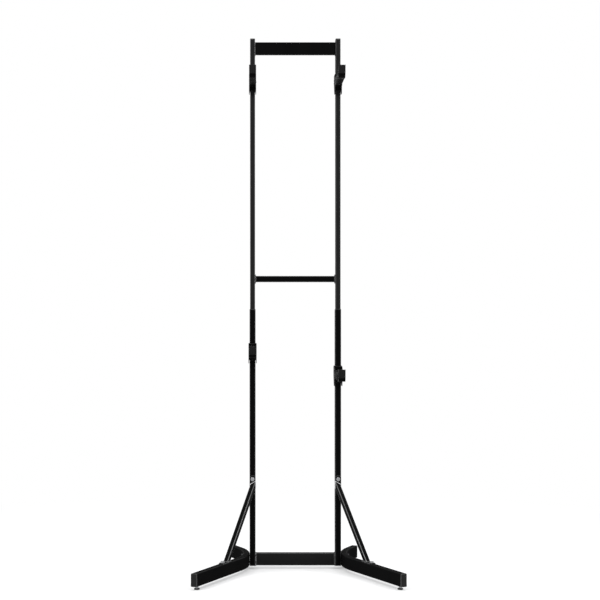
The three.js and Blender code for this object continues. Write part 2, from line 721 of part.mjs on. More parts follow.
function coverGeometry() {
  const ribPitch = (cradleWidth - coverRibWidth) / (coverRibs - 1);
  const ribs = Array.from({ length: coverRibs }, (unused, index) => extrudeSideView(
    coverOutline(coverThickness + coverRibHeight), coverRibWidth,
  ).translate((index - (coverRibs - 1) / 2) * ribPitch, 0, 0));
  const skin = extrudeSideView(coverOutline(coverThickness), cradleWidth - coverRibWidth / 2);
  return combine([skin, ...ribs]).translate(0, -cradleReach, 0);
}

function linerGeometry(post) {
  const ring = (gap, wall) => tubeSection(post.width + 2 * (gap + wall),
    post.depth + 2 * (gap + wall), wall, 0);
  const wall = extrude(ring(seatGap, linerThickness), armHeight);
  const flange = extrude(ring(seatGap, linerThickness + armSheet), linerFlange);
  flange.translate(0, 0, armHeight + seatGap);
  wall.scale(1, 1, (armHeight + seatGap + linerFlange / 2 - armLobeHeight) / armHeight);
  wall.translate(0, 0, armLobeHeight);
  return combine([wall, flange]).translate(0, post.depth / 2, 0);
}

function knobGeometry(post) {
  const outline = Array.from({ length: knobSides }, (unused, index) => {
    const angle = (index / knobSides) * 2 * Math.PI;
    const radius = knobRadius - (knobLobeDepth * (1 - Math.cos(knobLobes * angle))) / 2;
    return new THREE.Vector2(radius * Math.cos(angle), radius * Math.sin(angle));
  });
  const grip = new THREE.ExtrudeGeometry(new THREE.Shape(outline), {
    depth: knobHeight - 2 * knobChamfer,
    steps: 1,
    bevelThickness: knobChamfer,
    bevelSize: knobChamfer,
    bevelOffset: -knobChamfer,
    bevelSegments: 1,
  });
  const plateBack = post.depth + sleeve + armSheet;
  const hubStart = plateBack + boltNutHeight + 2 * seatGap;
  grip.rotateX(Math.PI / 2).translate(0, hubStart + knobHubHeight + knobHeight - knobChamfer, 0);
  const hub = rod(knobHubRadius, [0, hubStart, 0], [0, hubStart + knobHubHeight + knobHeight / 2, 0]);
  const screw = rod(boltRadius, [0, post.depth + sleeve, 0], [0, hubStart + knobHubHeight, 0]);
  return combine([grip, hub, screw]).translate(0, 0, armHeight - armRearPlateHeight / 2);
}

const armPlaces = [
  ['upper_left', upperPostSize, -postX, panelBottom - upperArmDrop],
  ['upper_right', upperPostSize, postX, panelBottom - upperArmDrop],
  ['lower_left', lowerPostSize, -postX, postJointHeight - lowerLeftArmDrop],
  ['lower_right', lowerPostSize, postX, postJointHeight - lowerRightArmDrop],
];
armPlaces.forEach(([place, post, x, z]) => {
  const carrier = new THREE.Group();
  carrier.position.set(x, post.front, z);
  rack.add(carrier);
  addPiece(`arm_${place}`, armGeometry(post), 'blackPaint', carrier);
  addPiece(`cradle_cover_${place}`, coverGeometry(), 'ribbedRubber', carrier);
  addPiece(`arm_liner_${place}`, linerGeometry(post), 'nylon', carrier);
  addPiece(`clamp_knob_${place}`, knobGeometry(post), 'blackPlastic', carrier);
});

// The origin moves to the middle of the outline, on the floor
const outlineBox = new THREE.Box3().setFromObject(rack);
rack.position.y = -(outlineBox.min.y + outlineBox.max.y) / 2;

export default rack;
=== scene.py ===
# %% [markdown]
# # A two tier rack, dressed
# The construction comes ready as a frame of separate solids, all in metres and in one place. This
# lesson gives every piece its finish: powder coat, zinc, rubber and moulded plastic. The solids
# could be drawn again by eye, but taking them from the frame keeps every size true. The box round
# them is kept straight after loading.

# %% Load the frame
import json
import math

import bmesh
import bpy
from mathutils import Matrix, Vector


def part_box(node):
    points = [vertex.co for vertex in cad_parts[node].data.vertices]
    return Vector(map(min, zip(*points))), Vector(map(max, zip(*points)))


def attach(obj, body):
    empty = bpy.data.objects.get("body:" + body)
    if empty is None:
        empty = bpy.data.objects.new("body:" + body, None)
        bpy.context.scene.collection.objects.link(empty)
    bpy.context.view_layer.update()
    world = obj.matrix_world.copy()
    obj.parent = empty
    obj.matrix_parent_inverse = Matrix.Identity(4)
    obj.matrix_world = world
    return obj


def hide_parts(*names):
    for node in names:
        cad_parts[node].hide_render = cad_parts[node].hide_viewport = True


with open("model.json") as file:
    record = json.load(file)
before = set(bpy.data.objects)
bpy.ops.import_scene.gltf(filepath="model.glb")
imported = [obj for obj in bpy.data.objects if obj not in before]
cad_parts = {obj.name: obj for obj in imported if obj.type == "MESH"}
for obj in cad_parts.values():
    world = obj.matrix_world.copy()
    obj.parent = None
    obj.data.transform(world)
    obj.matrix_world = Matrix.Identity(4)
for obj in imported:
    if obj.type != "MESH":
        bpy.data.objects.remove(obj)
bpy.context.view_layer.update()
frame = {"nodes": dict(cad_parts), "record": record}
nodes = frame["nodes"]

# %% [markdown]
# ## Camera
# The picture was taken from about chest height, six metres in front of the posts and a little to
# the left. Turning the camera to the rack would centre it, but then the bars would slope. A long
# lens held level and square to the rack keeps posts upright and bars level, and a small sideways
# shift of the lens brings the rack to the middle of the frame. View transform Standard shows the
# colours as they are written.

# %% Camera
post_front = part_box("lower_post_left")[0][1]
camera_distance = 6.0
camera_height = 1.083
camera_left = 0.175

camera_data = bpy.data.cameras.new("camera")
camera_data.lens = 89.55
camera_data.shift_x = 0.0803
camera_data.shift_y = -0.0004
camera_data.sensor_width = 36.0
camera = bpy.data.objects.new("camera", camera_data)
camera.location = (-camera_left, post_front - camera_distance, camera_height)
camera.rotation_euler = (math.pi / 2, 0.0, 0.0)
bpy.context.scene.collection.objects.link(camera)
bpy.context.scene.camera = camera
bpy.context.scene.view_settings.view_transform = "Standard"
print("camera at", tuple(round(value, 3) for value in camera.location))

# %% [markdown]
# ## Groups and nodes in code
# A material can be wired by hand in the shader editor, or in code. Code repeats without slips, so
# a few helpers make a group or a node in one line. What is handed to a node may be a plain value
# or a socket of another node: the first is written into the input, the second is linked to it.

# %% Groups and nodes
def new_group(name, inputs, outputs):
    tree = bpy.data.node_groups.new(name, "ShaderNodeTree")
    for label, default in inputs.items():
        socket = tree.interface.new_socket(label, in_out="INPUT", socket_type="NodeSocketFloat")
        socket.default_value = default
    for label in outputs:
        tree.interface.new_socket(label, in_out="OUTPUT", socket_type="NodeSocketFloat")
    return tree, tree.nodes.new("NodeGroupInput").outputs, tree.nodes.new("NodeGroupOutput")


def feed(tree, node, inputs):
    for key, value in inputs.items():
        if isinstance(value, bpy.types.NodeSocket):
            tree.links.new(value, node.inputs[key])
        else:
            node.inputs[key].default_value = value


def add(tree, kind, inputs=None, **settings):
    made = tree.nodes.new(kind)
    for key, value in settings.items():
        setattr(made, key, value)
    feed(tree, made, inputs or {})
    return made


print("group and node helpers ready")

# %% [markdown]
# ## Noise, ranges and colours
# Most patterns in this lesson are noise that is brought to a range, multiplied with a mask and
# used to mix two colours. Each of these is one node with fixed settings. Writing the settings out
# every time would hide the idea, so each gets a short name, and a recipe then reads like a sum.

# %% Noise, ranges and colours
def surface_place(tree):
    return add(tree, "ShaderNodeTexCoord").outputs["Object"]


def noise(tree, place, scale, detail=2.0, roughness=0.5):
    inputs = {"Vector": place, "Scale": scale, "Detail": detail, "Roughness": roughness}
    return add(tree, "ShaderNodeTexNoise", inputs).outputs["Fac"]


def remap(tree, value, low, high, to_low=0.0, to_high=1.0):
    inputs = {"Value": value, "From Min": low, "From Max": high,
              "To Min": to_low, "To Max": to_high}
    return add(tree, "ShaderNodeMapRange", inputs).outputs["Result"]


def maths(tree, operation, first, second):
    return add(tree, "ShaderNodeMath", {0: first, 1: second}, operation=operation).outputs[0]


def mix_colour(tree, amount, first, second):
    inputs = {0: amount, 6: first, 7: second}
    return add(tree, "ShaderNodeMix", inputs, data_type="RGBA").outputs[2]


def grey(value):
    return (value, value, value, 1.0)


print("tone 0.5 is written", grey(0.5))

# %% [markdown]
# ## Edge wear
# Paint is thinnest on a sharp edge and is rubbed there first. Painting wear by hand would need an
# image, and vertex colours would need dense meshes. A bevel lookup needs neither: it compares the
# true normal with a softened one, and where they part there is an edge. Noise breaks the mask up,
# so that the wear comes in nicks.

# %% Edge wear group
MM = 0.001
FLAT_ALIKE = 0.995
EDGE_ALIKE = 0.86
WEAR_REACH = 0.62
NICK_SOFTNESS = 0.06


def build_edge_wear():
    given_values = {"Width": 0.8 * MM, "Breakup Scale": 90.0, "Amount": 0.5}
    tree, given, result = new_group("Edge Wear", given_values, ["Mask", "Edge"])
    soft = add(tree, "ShaderNodeBevel", {"Radius": given["Width"]}, samples=6).outputs[0]
    hard = add(tree, "ShaderNodeNewGeometry").outputs["Normal"]
    alike = add(tree, "ShaderNodeVectorMath", {0: soft, 1: hard}, operation="DOT_PRODUCT")
    edge = remap(tree, alike.outputs["Value"], FLAT_ALIKE, EDGE_ALIKE)
    patches = noise(tree, surface_place(tree), given["Breakup Scale"], detail=6.0, roughness=0.65)
    level = maths(tree, "SUBTRACT", 1.0, maths(tree, "MULTIPLY", given["Amount"], WEAR_REACH))
    nicks = remap(tree, patches, level, maths(tree, "ADD", level, NICK_SOFTNESS))
    feed(tree, result, {"Mask": maths(tree, "MULTIPLY", edge, nicks), "Edge": edge})
    return tree


edge_wear = build_edge_wear()
print("built", edge_wear.name)

# %% [markdown]
# ## The skin of powder coat
# Powder coat is sprayed as dust and melts into a thick skin. It keeps a fine ripple called orange
# peel, and tiny specks where single grains stood proud. Both are far too fine to model, so two
# noises make a height for a Bump node, and a wide slow noise makes the cloud that varies the tone
# and the roughness.

# %% Orange peel group
SPECK_FROM = 0.62
SPECK_FULL = 0.8
COAT_CLOUD_SCALE = 9.0


def build_orange_peel():
    given_values = {"Ripple Scale": 900.0, "Speck Scale": 2600.0, "Speck Amount": 0.35}
    tree, given, result = new_group("Orange Peel", given_values, ["Height", "Cloud"])
    place = surface_place(tree)
    ripple = noise(tree, place, given["Ripple Scale"], detail=1.5, roughness=0.45)
    specks = noise(tree, place, given["Speck Scale"], detail=1.0)
    proud = maths(tree, "MULTIPLY", remap(tree, specks, SPECK_FROM, SPECK_FULL),
                  given["Speck Amount"])
    cloud = noise(tree, place, COAT_CLOUD_SCALE, detail=5.0, roughness=0.6)
    feed(tree, result, {"Height": maths(tree, "ADD", ripple, proud), "Cloud": cloud})
    return tree


orange_peel = build_orange_peel()
print("built", orange_peel.name)

# %% [markdown]
# ## Settled dust
# Dust gathers on faces that look up. A texture could place it, but the Z part of the normal
# already knows which faces these are, on every piece alike. Noise makes the film patchy.

# %% Dust group
DUST_FROM = 0.35
PATCH_FROM = 0.3
PATCH_FULL = 0.75


def build_dust():
    tree, given, result = new_group("Settled Dust", {"Amount": 0.3, "Patch Scale": 24.0}, ["Mask"])
    normal = add(tree, "ShaderNodeNewGeometry").outputs["Normal"]
    up = add(tree, "ShaderNodeSeparateXYZ", {0: normal}).outputs["Z"]
    facing = remap(tree, up, DUST_FROM, 1.0)
    patches = noise(tree, surface_place(tree), given["Patch Scale"], detail=5.0, roughness=0.6)
    film = maths(tree, "MULTIPLY", facing, remap(tree, patches, PATCH_FROM, PATCH_FULL))
    feed(tree, result, {"Mask": maths(tree, "MULTIPLY", film, given["Amount"])})
    return tree


settled_dust = build_dust()
print("built", settled_dust.name)

# %% [markdown]
# ## Moulded grain
# Injection moulds are etched so that plastic comes out with a fine leather-like grain. Plain noise
# looks like dirt at this scale, while a texture of small cells with softened edges looks etched.
# The same group serves rubber with a coarser scale.

# %% Moulded grain group
PLASTIC_CLOUD_SCALE = 35.0


def build_grain():
    given_values = {"Grain Scale": 1400.0, "Depth": 1.0}
    tree, given, result = new_group("Moulded Grain", given_values, ["Height", "Cloud"])
    place = surface_place(tree)
    cells = add(tree, "ShaderNodeTexVoronoi", {"Vector": place, "Scale": given["Grain Scale"]},
                feature="SMOOTH_F1").outputs["Distance"]
    cloud = noise(tree, place, PLASTIC_CLOUD_SCALE, detail=4.0, roughness=0.6)
    feed(tree, result, {"Height": maths(tree, "MULTIPLY", cells, given["Depth"]), "Cloud": cloud})
    return tree


moulded_grain = build_grain()
print("built", moulded_grain.name)

# %% [markdown]
# ## Plated metal
# Zinc plate shows spangled clouds, fine turning lines and small scratches. An anisotropic shader
# could stretch the highlights, but it draws no lines. Noise that is stretched along one axis gives
# lines in roughness and bump on any shape.

# %% Plated metal group
LINE_STRETCH = (0.06, 1.0, 1.0)


def build_plate():
    given_values = {"Line Scale": 700.0, "Cloud Scale": 160.0}
    tree, given, result = new_group("Plated Metal", given_values, ["Lines", "Cloud"])
    place = surface_place(tree)
    drawn = add(tree, "ShaderNodeMapping", {"Vector": place, "Scale": LINE_STRETCH}).outputs[0]
    cloud = noise(tree, place, given["Cloud Scale"], detail=3.0, roughness=0.6)
    lines = noise(tree, drawn, given["Line Scale"], detail=3.0)
    feed(tree, result, {"Lines": lines, "Cloud": cloud})
    return tree


plated_metal = build_plate()
print("built", plated_metal.name)

# %% [markdown]
# ## Materials
# Each material holds its own Principled shader. The groups feed its colour, roughness and bump,
# while everything that is the same all over stays a plain number on the shader. One shader could
# serve everything, but then every finish would share its gloss. These small helpers start a
# material, place a group in it with its values, and wire a Bump node.

# %% Material helpers
def new_material(name):
    material = bpy.data.materials.new(name)
    material.use_nodes = True
    return material, material.node_tree, material.node_tree.nodes["Principled BSDF"]


def use(tree, group, **values):
    inputs = {key.replace("_", " "): value for key, value in values.items()}
    return add(tree, "ShaderNodeGroup", inputs, node_tree=group).outputs


def bump(tree, height, strength, distance):
    inputs = {"Height": height, "Strength": strength, "Distance": distance}
    return add(tree, "ShaderNodeBump", inputs).outputs["Normal"]


print("material helpers ready")

# %% [markdown]
# ## Black powder coat
# The rack is coated in a deep satin black that barely mirrors its surroundings. Only on edges and
# on the rounded corners of the tubes does it shine. A glossy shader all over would turn the flats
# grey, so the specular level is kept very low and a clear coat is laid on the edges and corners
# alone. There the colour is also lightened towards a grey: a painted highlight, and on sharp edges
# thin paint as well. The corners are known by a number that each face carries.

# %% Black powder coat
COAT_TONES = (0.75, 1.3)
COAT_ROUGHNESS = (0.45, 0.57)
CLOUD_RANGE = (0.25, 0.75)
THIN_PAINT_AND_HIGHLIGHT_SHARE = 0.7
COAT_DUST = (0.11, 0.105, 0.1, 1.0)
DUST_ROUGHNESS = 0.4
CLEAR_ROUGHNESS = 0.16
PEEL_STRENGTH = 0.22
PEEL_HEIGHT = 0.2 * MM


def build_paint(name, base, edge, edge_width, worn=0.16, wear_amount=0.3, dust_amount=0.02,
                gloss=0.012):
    material, tree, shader = new_material(name)
    peel = use(tree, orange_peel)
    wear = use(tree, edge_wear, Width=edge_width, Amount=wear_amount)
    dust = use(tree, settled_dust, Amount=dust_amount)["Mask"]
    corner = add(tree, "ShaderNodeAttribute", attribute_name="corner").outputs["Fac"]
    shine = maths(tree, "MAXIMUM", wear["Edge"], corner)
    dark, light = (grey(base * share) for share in COAT_TONES)
    colour = mix_colour(tree, peel["Cloud"], dark, light)
    # Edges and tube corners are lightened towards the edge grey: a painted highlight, and on sharp
    # edges thin paint as well.
    colour = mix_colour(tree, maths(tree, "MULTIPLY", shine, THIN_PAINT_AND_HIGHLIGHT_SHARE), colour, grey(edge))
    colour = mix_colour(tree, wear["Mask"], colour, grey(worn))
    rough = remap(tree, peel["Cloud"], *CLOUD_RANGE, *COAT_ROUGHNESS)
    feed(tree, shader, {
        "Base Color": mix_colour(tree, dust, colour, COAT_DUST),
        "Roughness": maths(tree, "ADD", rough, maths(tree, "MULTIPLY", dust, DUST_ROUGHNESS)),
        "Specular IOR Level": gloss,
        "Coat Weight": shine,
        "Coat Roughness": CLEAR_ROUGHNESS,
        "Normal": bump(tree, peel["Height"], PEEL_STRENGTH, PEEL_HEIGHT),
    })
    return material


print("powder coat recipe ready")

# %% [markdown]
# ## Plastic and rubber
# Caps, knobs, liners and cradle covers come out of moulds. One recipe serves them all, because
# they differ only in tone, roughness and the size of the grain. The etched cells give the bump,
# and the edges are a little paler: partly worn by handling, partly a painted highlight, most of
# all on the caps.

# %% Plastic and rubber
PLASTIC_TONES = (0.8, 1.25)
HANDLED_AND_HIGHLIGHT_SHARE = 0.6
PLASTIC_DUST = (0.13, 0.125, 0.12, 1.0)
GRAIN_STRENGTH = 0.35
GRAIN_HEIGHT = 0.25 * MM


def build_moulded(name, base, edge, edge_width, rough, grain, depth, dust_amount):
    material, tree, shader = new_material(name)
    surface = use(tree, moulded_grain, Grain_Scale=grain, Depth=depth)
    wear = use(tree, edge_wear, Width=edge_width, Amount=0.25)
    dust = use(tree, settled_dust, Amount=dust_amount, Patch_Scale=40.0)["Mask"]
    dark, light = (grey(base * share) for share in PLASTIC_TONES)
    colour = mix_colour(tree, surface["Cloud"], dark, light)
    # Paler edges: partly wear from handling, partly a painted highlight.
    handled_and_highlit = maths(tree, "MULTIPLY", wear["Edge"], HANDLED_AND_HIGHLIGHT_SHARE)
    colour = mix_colour(tree, handled_and_highlit, colour, grey(edge))
    feed(tree, shader, {
        "Base Color": mix_colour(tree, dust, colour, PLASTIC_DUST),
        "Roughness": remap(tree, surface["Cloud"], *CLOUD_RANGE, rough - 0.06, rough + 0.08),
        "Specular IOR Level": 0.1,
        "Normal": bump(tree, surface["Height"], GRAIN_STRENGTH, GRAIN_HEIGHT),
    })
    return material


print("moulded recipe ready")

# %% [markdown]
# ## Plated steel
# Bolts and studs are zinc plated and small screws are blackened. The seam at the top of each strut
# is bright metal that stands in for a short line of light there: a painted highlight. All three are
# metal with clouds and lines, so they share a recipe with different tones. Metallic is a plain
# number here, because a bolt is metal all over.

# %% Plated steel
PLATE_RANGE = (0.3, 0.7)
RUBBED_SHARE = 0.4
LINE_STRENGTH = 0.18
LINE_HEIGHT = 0.1 * MM


def build_metal(name, base, dark, rough, metallic=1.0):
    material, tree, shader = new_material(name)
    plate = use(tree, plated_metal)
    wear = use(tree, edge_wear, Width=0.6 * MM, Amount=0.5)
    colour = mix_colour(tree, remap(tree, plate["Cloud"], *PLATE_RANGE), dark, base)
    rubbed = maths(tree, "MULTIPLY", wear["Edge"], RUBBED_SHARE)
    feed(tree, shader, {
        "Base Color": mix_colour(tree, rubbed, colour, grey(base[0] * 1.15)),
        "Roughness": remap(tree, plate["Lines"], *PLATE_RANGE, rough - 0.08, rough + 0.1),
        "Metallic": metallic,
        "Normal": bump(tree, plate["Lines"], LINE_STRENGTH, LINE_HEIGHT),
    })
    return material


print("metal recipe ready")

# %% [markdown]
# ## The blacks of the rack
# All painted steel has one recipe, but not one tone: in the picture the lower posts and struts are
# darkest, the upper posts and the base bar catch more light, and the feet are the most matt. Five
# blacks with their own numbers show that better than one black under more lamps.

# %% The blacks of the rack
# edge is the grey that edges and tube corners are lightened to: a painted highlight, on sharp edges
# also thin paint.
finishes = {
    "black_paint": build_paint("black_powder_coat", base=0.0028, edge=0.08, edge_width=1.1 * MM,
                               wear_amount=0.34),
    "black_tube": build_paint("black_tube_coat", base=0.0024, edge=0.12, edge_width=3.4 * MM),
    "black_post": build_paint("black_post_coat", base=0.0135, edge=0.12, edge_width=3.4 * MM),
    "black_bar": build_paint("black_bar_coat", base=0.011, edge=0.12, edge_width=3.4 * MM),
    "black_foot": build_paint("black_foot_coat", base=0.0048, edge=0.02, edge_width=1.4 * MM,
                              worn=0.06, wear_amount=0.15, dust_amount=0.006, gloss=0.001),
}
print("built", len(finishes), "blacks")

# %% [markdown]
# ## Plastics, rubber and metals of the rack
# The smaller parts are told apart by their surface more than by their tone: smooth caps, grained
# knobs, coarse matt rubber, fine nylon and bright zinc. One dark plastic for all would be shorter,
# but up close the rack would look cast in one piece. Each finish joins the same dictionary, so a
# piece finds its finish by name.

# %% Plastics, rubber and metals of the rack
# The caps' pale edge tone is partly a painted highlight.
finishes["cap_plastic"] = build_moulded("cap_plastic", base=0.012, edge=0.13, edge_width=2.2 * MM,
                                        rough=0.46, grain=1500.0, depth=1.0, dust_amount=0.08)
finishes["knob_plastic"] = build_moulded("knob_plastic", base=0.009, edge=0.04, edge_width=0.8 * MM,
                                         rough=0.5, grain=1100.0, depth=1.2, dust_amount=0.1)
finishes["cradle_rubber"] = build_moulded("cradle_rubber", base=0.007, edge=0.025,
                                          edge_width=0.7 * MM, rough=0.68, grain=800.0, depth=1.5,
                                          dust_amount=0.12)
finishes["liner_nylon"] = build_moulded("liner_nylon", base=0.01, edge=0.035, edge_width=0.6 * MM,
                                        rough=0.55, grain=2000.0, depth=0.7, dust_amount=0.08)
finishes["zinc_steel"] = build_metal("zinc_steel", (0.37, 0.373, 0.38, 1.0),
                                     (0.23, 0.233, 0.24, 1.0), rough=0.3)
# Bright seam metal: a painted highlight at the strut tops.
finishes["painted_highlight_seam"] = build_metal("painted_highlight_seam", (0.8, 0.8, 0.81, 1.0), (0.6, 0.6, 0.61, 1.0),
                                    rough=0.28)
finishes["black_steel"] = build_metal("black_steel", (0.035, 0.035, 0.037, 1.0),
                                      (0.018, 0.018, 0.02, 1.0), rough=0.36, metallic=0.6)
print("built", len(finishes), "finishes in all")

# %% [markdown]
# ## Pieces of the rack
# The frame's record says which finish each solid asks for and which moving body it belongs to. A
# dressed piece takes both from its solid. Parenting by hand in the outliner would do as well, but
# here one helper shades a mesh, gives it its finish, lets it ride on the body and, where it stands
# for the solid, says so: the solid is then hidden and stays for collision.

# %% Pieces of the rack
node_slots = {row["node"]: row["material_slot"] for row in frame["record"]["subparts"]}
node_bodies = {node: body for body, members in frame["record"]["behaviour"]["bodies"].items()
               for node in members}


def link_mesh(name, mesh):
    piece = bpy.data.objects.new(name, mesh)
    bpy.context.scene.collection.objects.link(piece)
    return piece


def add_piece(mesh, node, sharp_angle, slot=None, finish=None, stands_for_node=True):
    piece = link_mesh(mesh.name, mesh)
    slot = slot or node_slots[node]
    mesh.shade_smooth()
    mesh.set_sharp_from_angle(angle=math.radians(sharp_angle))
    mesh.materials.clear()
    mesh.materials.append(finishes[finish or slot])
    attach(piece, node_bodies[node])
    if stands_for_node:
        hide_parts(node)
    return piece


def mesh_from(work, name):
    mesh = bpy.data.meshes.new(name)
    work.to_mesh(mesh)
    work.free()
    return mesh


print("piece helpers ready")

# %% [markdown]
# ## Softened solids
# A cut in steel is never perfectly sharp: the coat melts round it. The solids come with hard
# facets, and their own meshes may not be changed. So each is copied, its flat facets are joined
# into clean faces, and a narrow bevel catches the light along every edge. A subdivision surface
# would round the tubes away, while a bevel with hardened normals keeps the flats flat. A tube's
# rounded corners are strips far narrower than its flats, and they get the number that makes the
# coat shine there.

# %% Softened copies
CORNER_STRIP = 2.5 * MM
SAME_POINT = 0.001 * MM
SAME_PLANE = math.radians(0.4)
SOFT_ANGLE = 50.0
SOFT_EDGE = 0.5 * MM


def mark_corners(work, shine):
    layer = work.faces.layers.float.new("corner")
    for face in work.faces:
        longest = max(side.calc_length() for side in face.edges)
        if face.calc_area() / longest < CORNER_STRIP:
            # The corner number makes the coat shine and lightens the colour here: a painted
            # highlight.
            face[layer] = shine


def soften(node, segments=2, finish=None, shine=0.0):
    work = bmesh.new()
    work.from_mesh(nodes[node].data)
    bmesh.ops.remove_doubles(work, verts=work.verts, dist=SAME_POINT)
    bmesh.ops.dissolve_limit(work, angle_limit=SAME_PLANE, verts=work.verts, edges=work.edges)
    mark_corners(work, shine)
    piece = add_piece(mesh_from(work, node + "_coat"), node, SOFT_ANGLE, finish=finish)
    bevel = piece.modifiers.new("softened edges", "BEVEL")
    bevel.width = SOFT_EDGE
    bevel.segments = segments
    bevel.limit_method = "ANGLE"
    bevel.angle_limit = math.radians(SOFT_ANGLE)
    bevel.harden_normals = True


print("softening ready")

# %% [markdown]
# ## Posts, bars, feet and struts
# The welded frame is rectangular tube. These shapes are right as they are in the construction, so
# building them again would gain nothing, and all of them go through the softening above. Each kind
# has its own black, and its corners shine by their own share: the slim struts most, the feet
# hardly at all. The same share lightens the colour of the corners, which is a painted highlight.

# %% Posts, bars, feet and struts
# The second value is the corner share: coat shine and a painted highlight on the tube corners.
tube_finishes = {"lower_post": ("black_tube", 0.35), "upper_post": ("black_post", 0.35),
                 "base_crossbar": ("black_bar", 0.35), "middle_crossbar": ("black_tube", 0.35),
                 "foot": ("black_foot", 0.06), "strut": ("black_tube", 1.0)}
tubes = {name: found for name in nodes for start, found in tube_finishes.items()
         if name in (start, start + "_left", start + "_right")}
for name, (finish, shine) in tubes.items():
    soften(name, finish=finish, shine=shine)
print("softened", len(tubes), "tubes")

# %% [markdown]
# ## Arms, liners, caps and panel
# The arms are folded and welded sheet, the liners and caps are moulded, and the panel is one
# folded sheet. Each could be drawn again with its own radii, but at this size they would look the
# same, so one bevel of half a millimetre serves them all. Only the panel gets a segment more,
# because its long front edges are seen against white.

# %% Arms, liners, caps and panel
arms = [name for name in nodes if name.startswith("arm_") and "liner" not in name]
arm_pieces = [name for name in nodes if name.startswith("arm_")]
caps = [name for name in nodes if "_cap_" in name]
for name in arm_pieces + caps:
    soften(name)
soften("top_panel", segments=3)
print("softened", len(arm_pieces), "arms and liners,", len(caps), "caps and the panel")

# %% [markdown]
# ## Turning a half outline
# Bolts, pads and hubs are turned or moulded round an axis. Blender's cylinder would give only
# straight walls, and a Spin in edit mode needs the right context. So a half outline of radius and
# height is turned round the axis in plain mesh code, with enough steps that the rim looks round
# close up. Where the outline touches the axis, the ring shrinks to one point.

# %% Turned parts
def round_angles(steps):
    return [2 * math.pi * step / steps for step in range(steps)]


def turned(name, outline, steps=48):
    work = bmesh.new()
    rings = []
    for radius, height in outline:
        angles = round_angles(steps) if radius else [0.0]
        rings.append([work.verts.new((radius * math.cos(a), radius * math.sin(a), height))
                      for a in angles])
    for low, high in zip(rings, rings[1:]):
        for step in range(steps):
            after = (step + 1) % steps
            corners = [low[step % len(low)], low[after % len(low)], high[after % len(high)],
                       high[step % len(high)]]
            unique = list(dict.fromkeys(corners))
            if len(unique) > 2:
                work.faces.new(unique)
    bmesh.ops.recalc_face_normals(work, faces=work.faces)
    return mesh_from(work, name)


print("a ring of 48 steps turns", round(360 / len(round_angles(48)), 2), "degrees a step")

# %% [markdown]
# ## Hexagon heads
# A forged head has its corners turned off to a 30 degree chamfer and is dished a little at the
# top. Cutting a hexagon with a cone by a boolean leaves thin slivers. Here each ring of points
# takes the smaller of the hexagon's radius and the cone's, and neighbouring rings are joined by
# quads, which gives the same curve in a clean mesh. Knobs and cradle covers are stacked in the
# same way further on.

# %% Hexagon heads
HEAD_STEPS = 72
HEAD_CHAMFER = math.radians(30)
CHAMFER_SHARE = 0.9
TOP_SHARE = 0.97
DISH_SHARE = 0.8
DISH_DEPTH = 0.3 * MM


def stack(work, rings):
    for first, second in zip(rings, rings[1:]):
        for step in range(len(first)):
            after = (step + 1) % len(first)
            work.faces.new((first[step], first[after], second[after], second[step]))
    work.faces.new(rings[0][::-1])
    work.faces.new(rings[-1])


def hexagon_radius(angle, flats):
    sector = math.pi / 3
    return flats / 2 / math.cos((angle % sector) - sector / 2)


def hexagon_head(name, low, high, flats):
    crest = flats / math.sqrt(3)
    chamfer = (crest - flats / 2) * math.tan(HEAD_CHAMFER)
    levels = [(low, crest), (high - chamfer, crest),
              (high - chamfer / 2, crest - chamfer * CHAMFER_SHARE), (high, flats / 2 * TOP_SHARE)]
    work = bmesh.new()
    rings = []
    for height, limit in levels:
        radii = [(min(hexagon_radius(a, flats), limit), a) for a in round_angles(HEAD_STEPS)]
        rings.append([work.verts.new((r * math.cos(a), r * math.sin(a), height)) for r, a in radii])
    rings.append([work.verts.new((vert.co.x * DISH_SHARE, vert.co.y * DISH_SHARE,
                                  high - DISH_DEPTH)) for vert in rings[-1]])
    stack(work, rings)
    return mesh_from(work, name)


print("a 13 mm head is", round(2 * hexagon_radius(0.0, 13.0), 1), "mm across its corners")

# %% [markdown]
# ## Joining and placing
# Head, washer and shank are drawn apart, each round its own axis. A boolean union would weld them
# into one skin, but it makes slivers, and nobody sees the inside of a bolt. So the meshes are only
# put together, and one matrix lays the result along any direction, which is safer than turning it
# by three angles.

# %% Joining and placing
def joined(name, meshes):
    work = bmesh.new()
    for mesh in meshes:
        work.from_mesh(mesh)
        bpy.data.meshes.remove(mesh)
    return mesh_from(work, name)


def along(point, direction):
    turn = Vector((0, 0, 1)).rotation_difference(Vector(direction)).to_matrix().to_4x4()
    return Matrix.Translation(point) @ turn


print("joining and placing ready")

# %% [markdown]
# ## Threads
# Bolts, studs and knob screws show a few turns of thread. A true helix could be made with a Screw
# modifier, but at this size nobody would tell it from a row of ridges, and ridges turn in the same
# way as everything else that is round. An 8 mm bolt has a pitch of 1.25 mm.

# %% Threads
SHANK_RADIUS = 4.0 * MM
THREAD_PITCH = 1.25 * MM
ROOT_SHARE = 0.9
TIP_SHARE = 0.8
SLOPE_SHARE = 0.3


def thread_outline(radius, low, high, pitch):
    root, slope = radius * ROOT_SHARE, pitch * SLOPE_SHARE
    outline = [(0.0, low), (radius * TIP_SHARE, low)]
    for index in range(int((high - low) / pitch)):
        crest = low + (index + 0.5) * pitch
        outline += [(root, crest - slope), (radius, crest), (root, crest + slope)]
    return outline + [(root, high), (0.0, high)]


print("a centimetre of thread has", len(thread_outline(4.0, 0.0, 10.0, 1.25)), "points")

# %% [markdown]
# ## Hexagon bolts
# Bolts hold the struts and join the feet and posts to the base bar. One bolt could be copied to
# every place, but their lengths differ. So each is built standing on its washer, to the length of
# its solid, and then laid into the solid's place with its head outwards.

# %% Hexagon bolts
HEAD_FLATS = 13.0 * MM
HEAD_HEIGHT = 5.3 * MM
WASHER_RADIUS = 8.0 * MM
WASHER_HEIGHT = 1.6 * MM
WASHER_RIM = 0.3 * MM
SHANK_OVERLAP = 0.5 * MM


def corners_of(node):
    low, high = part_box(node)
    return Vector(low), Vector(high)


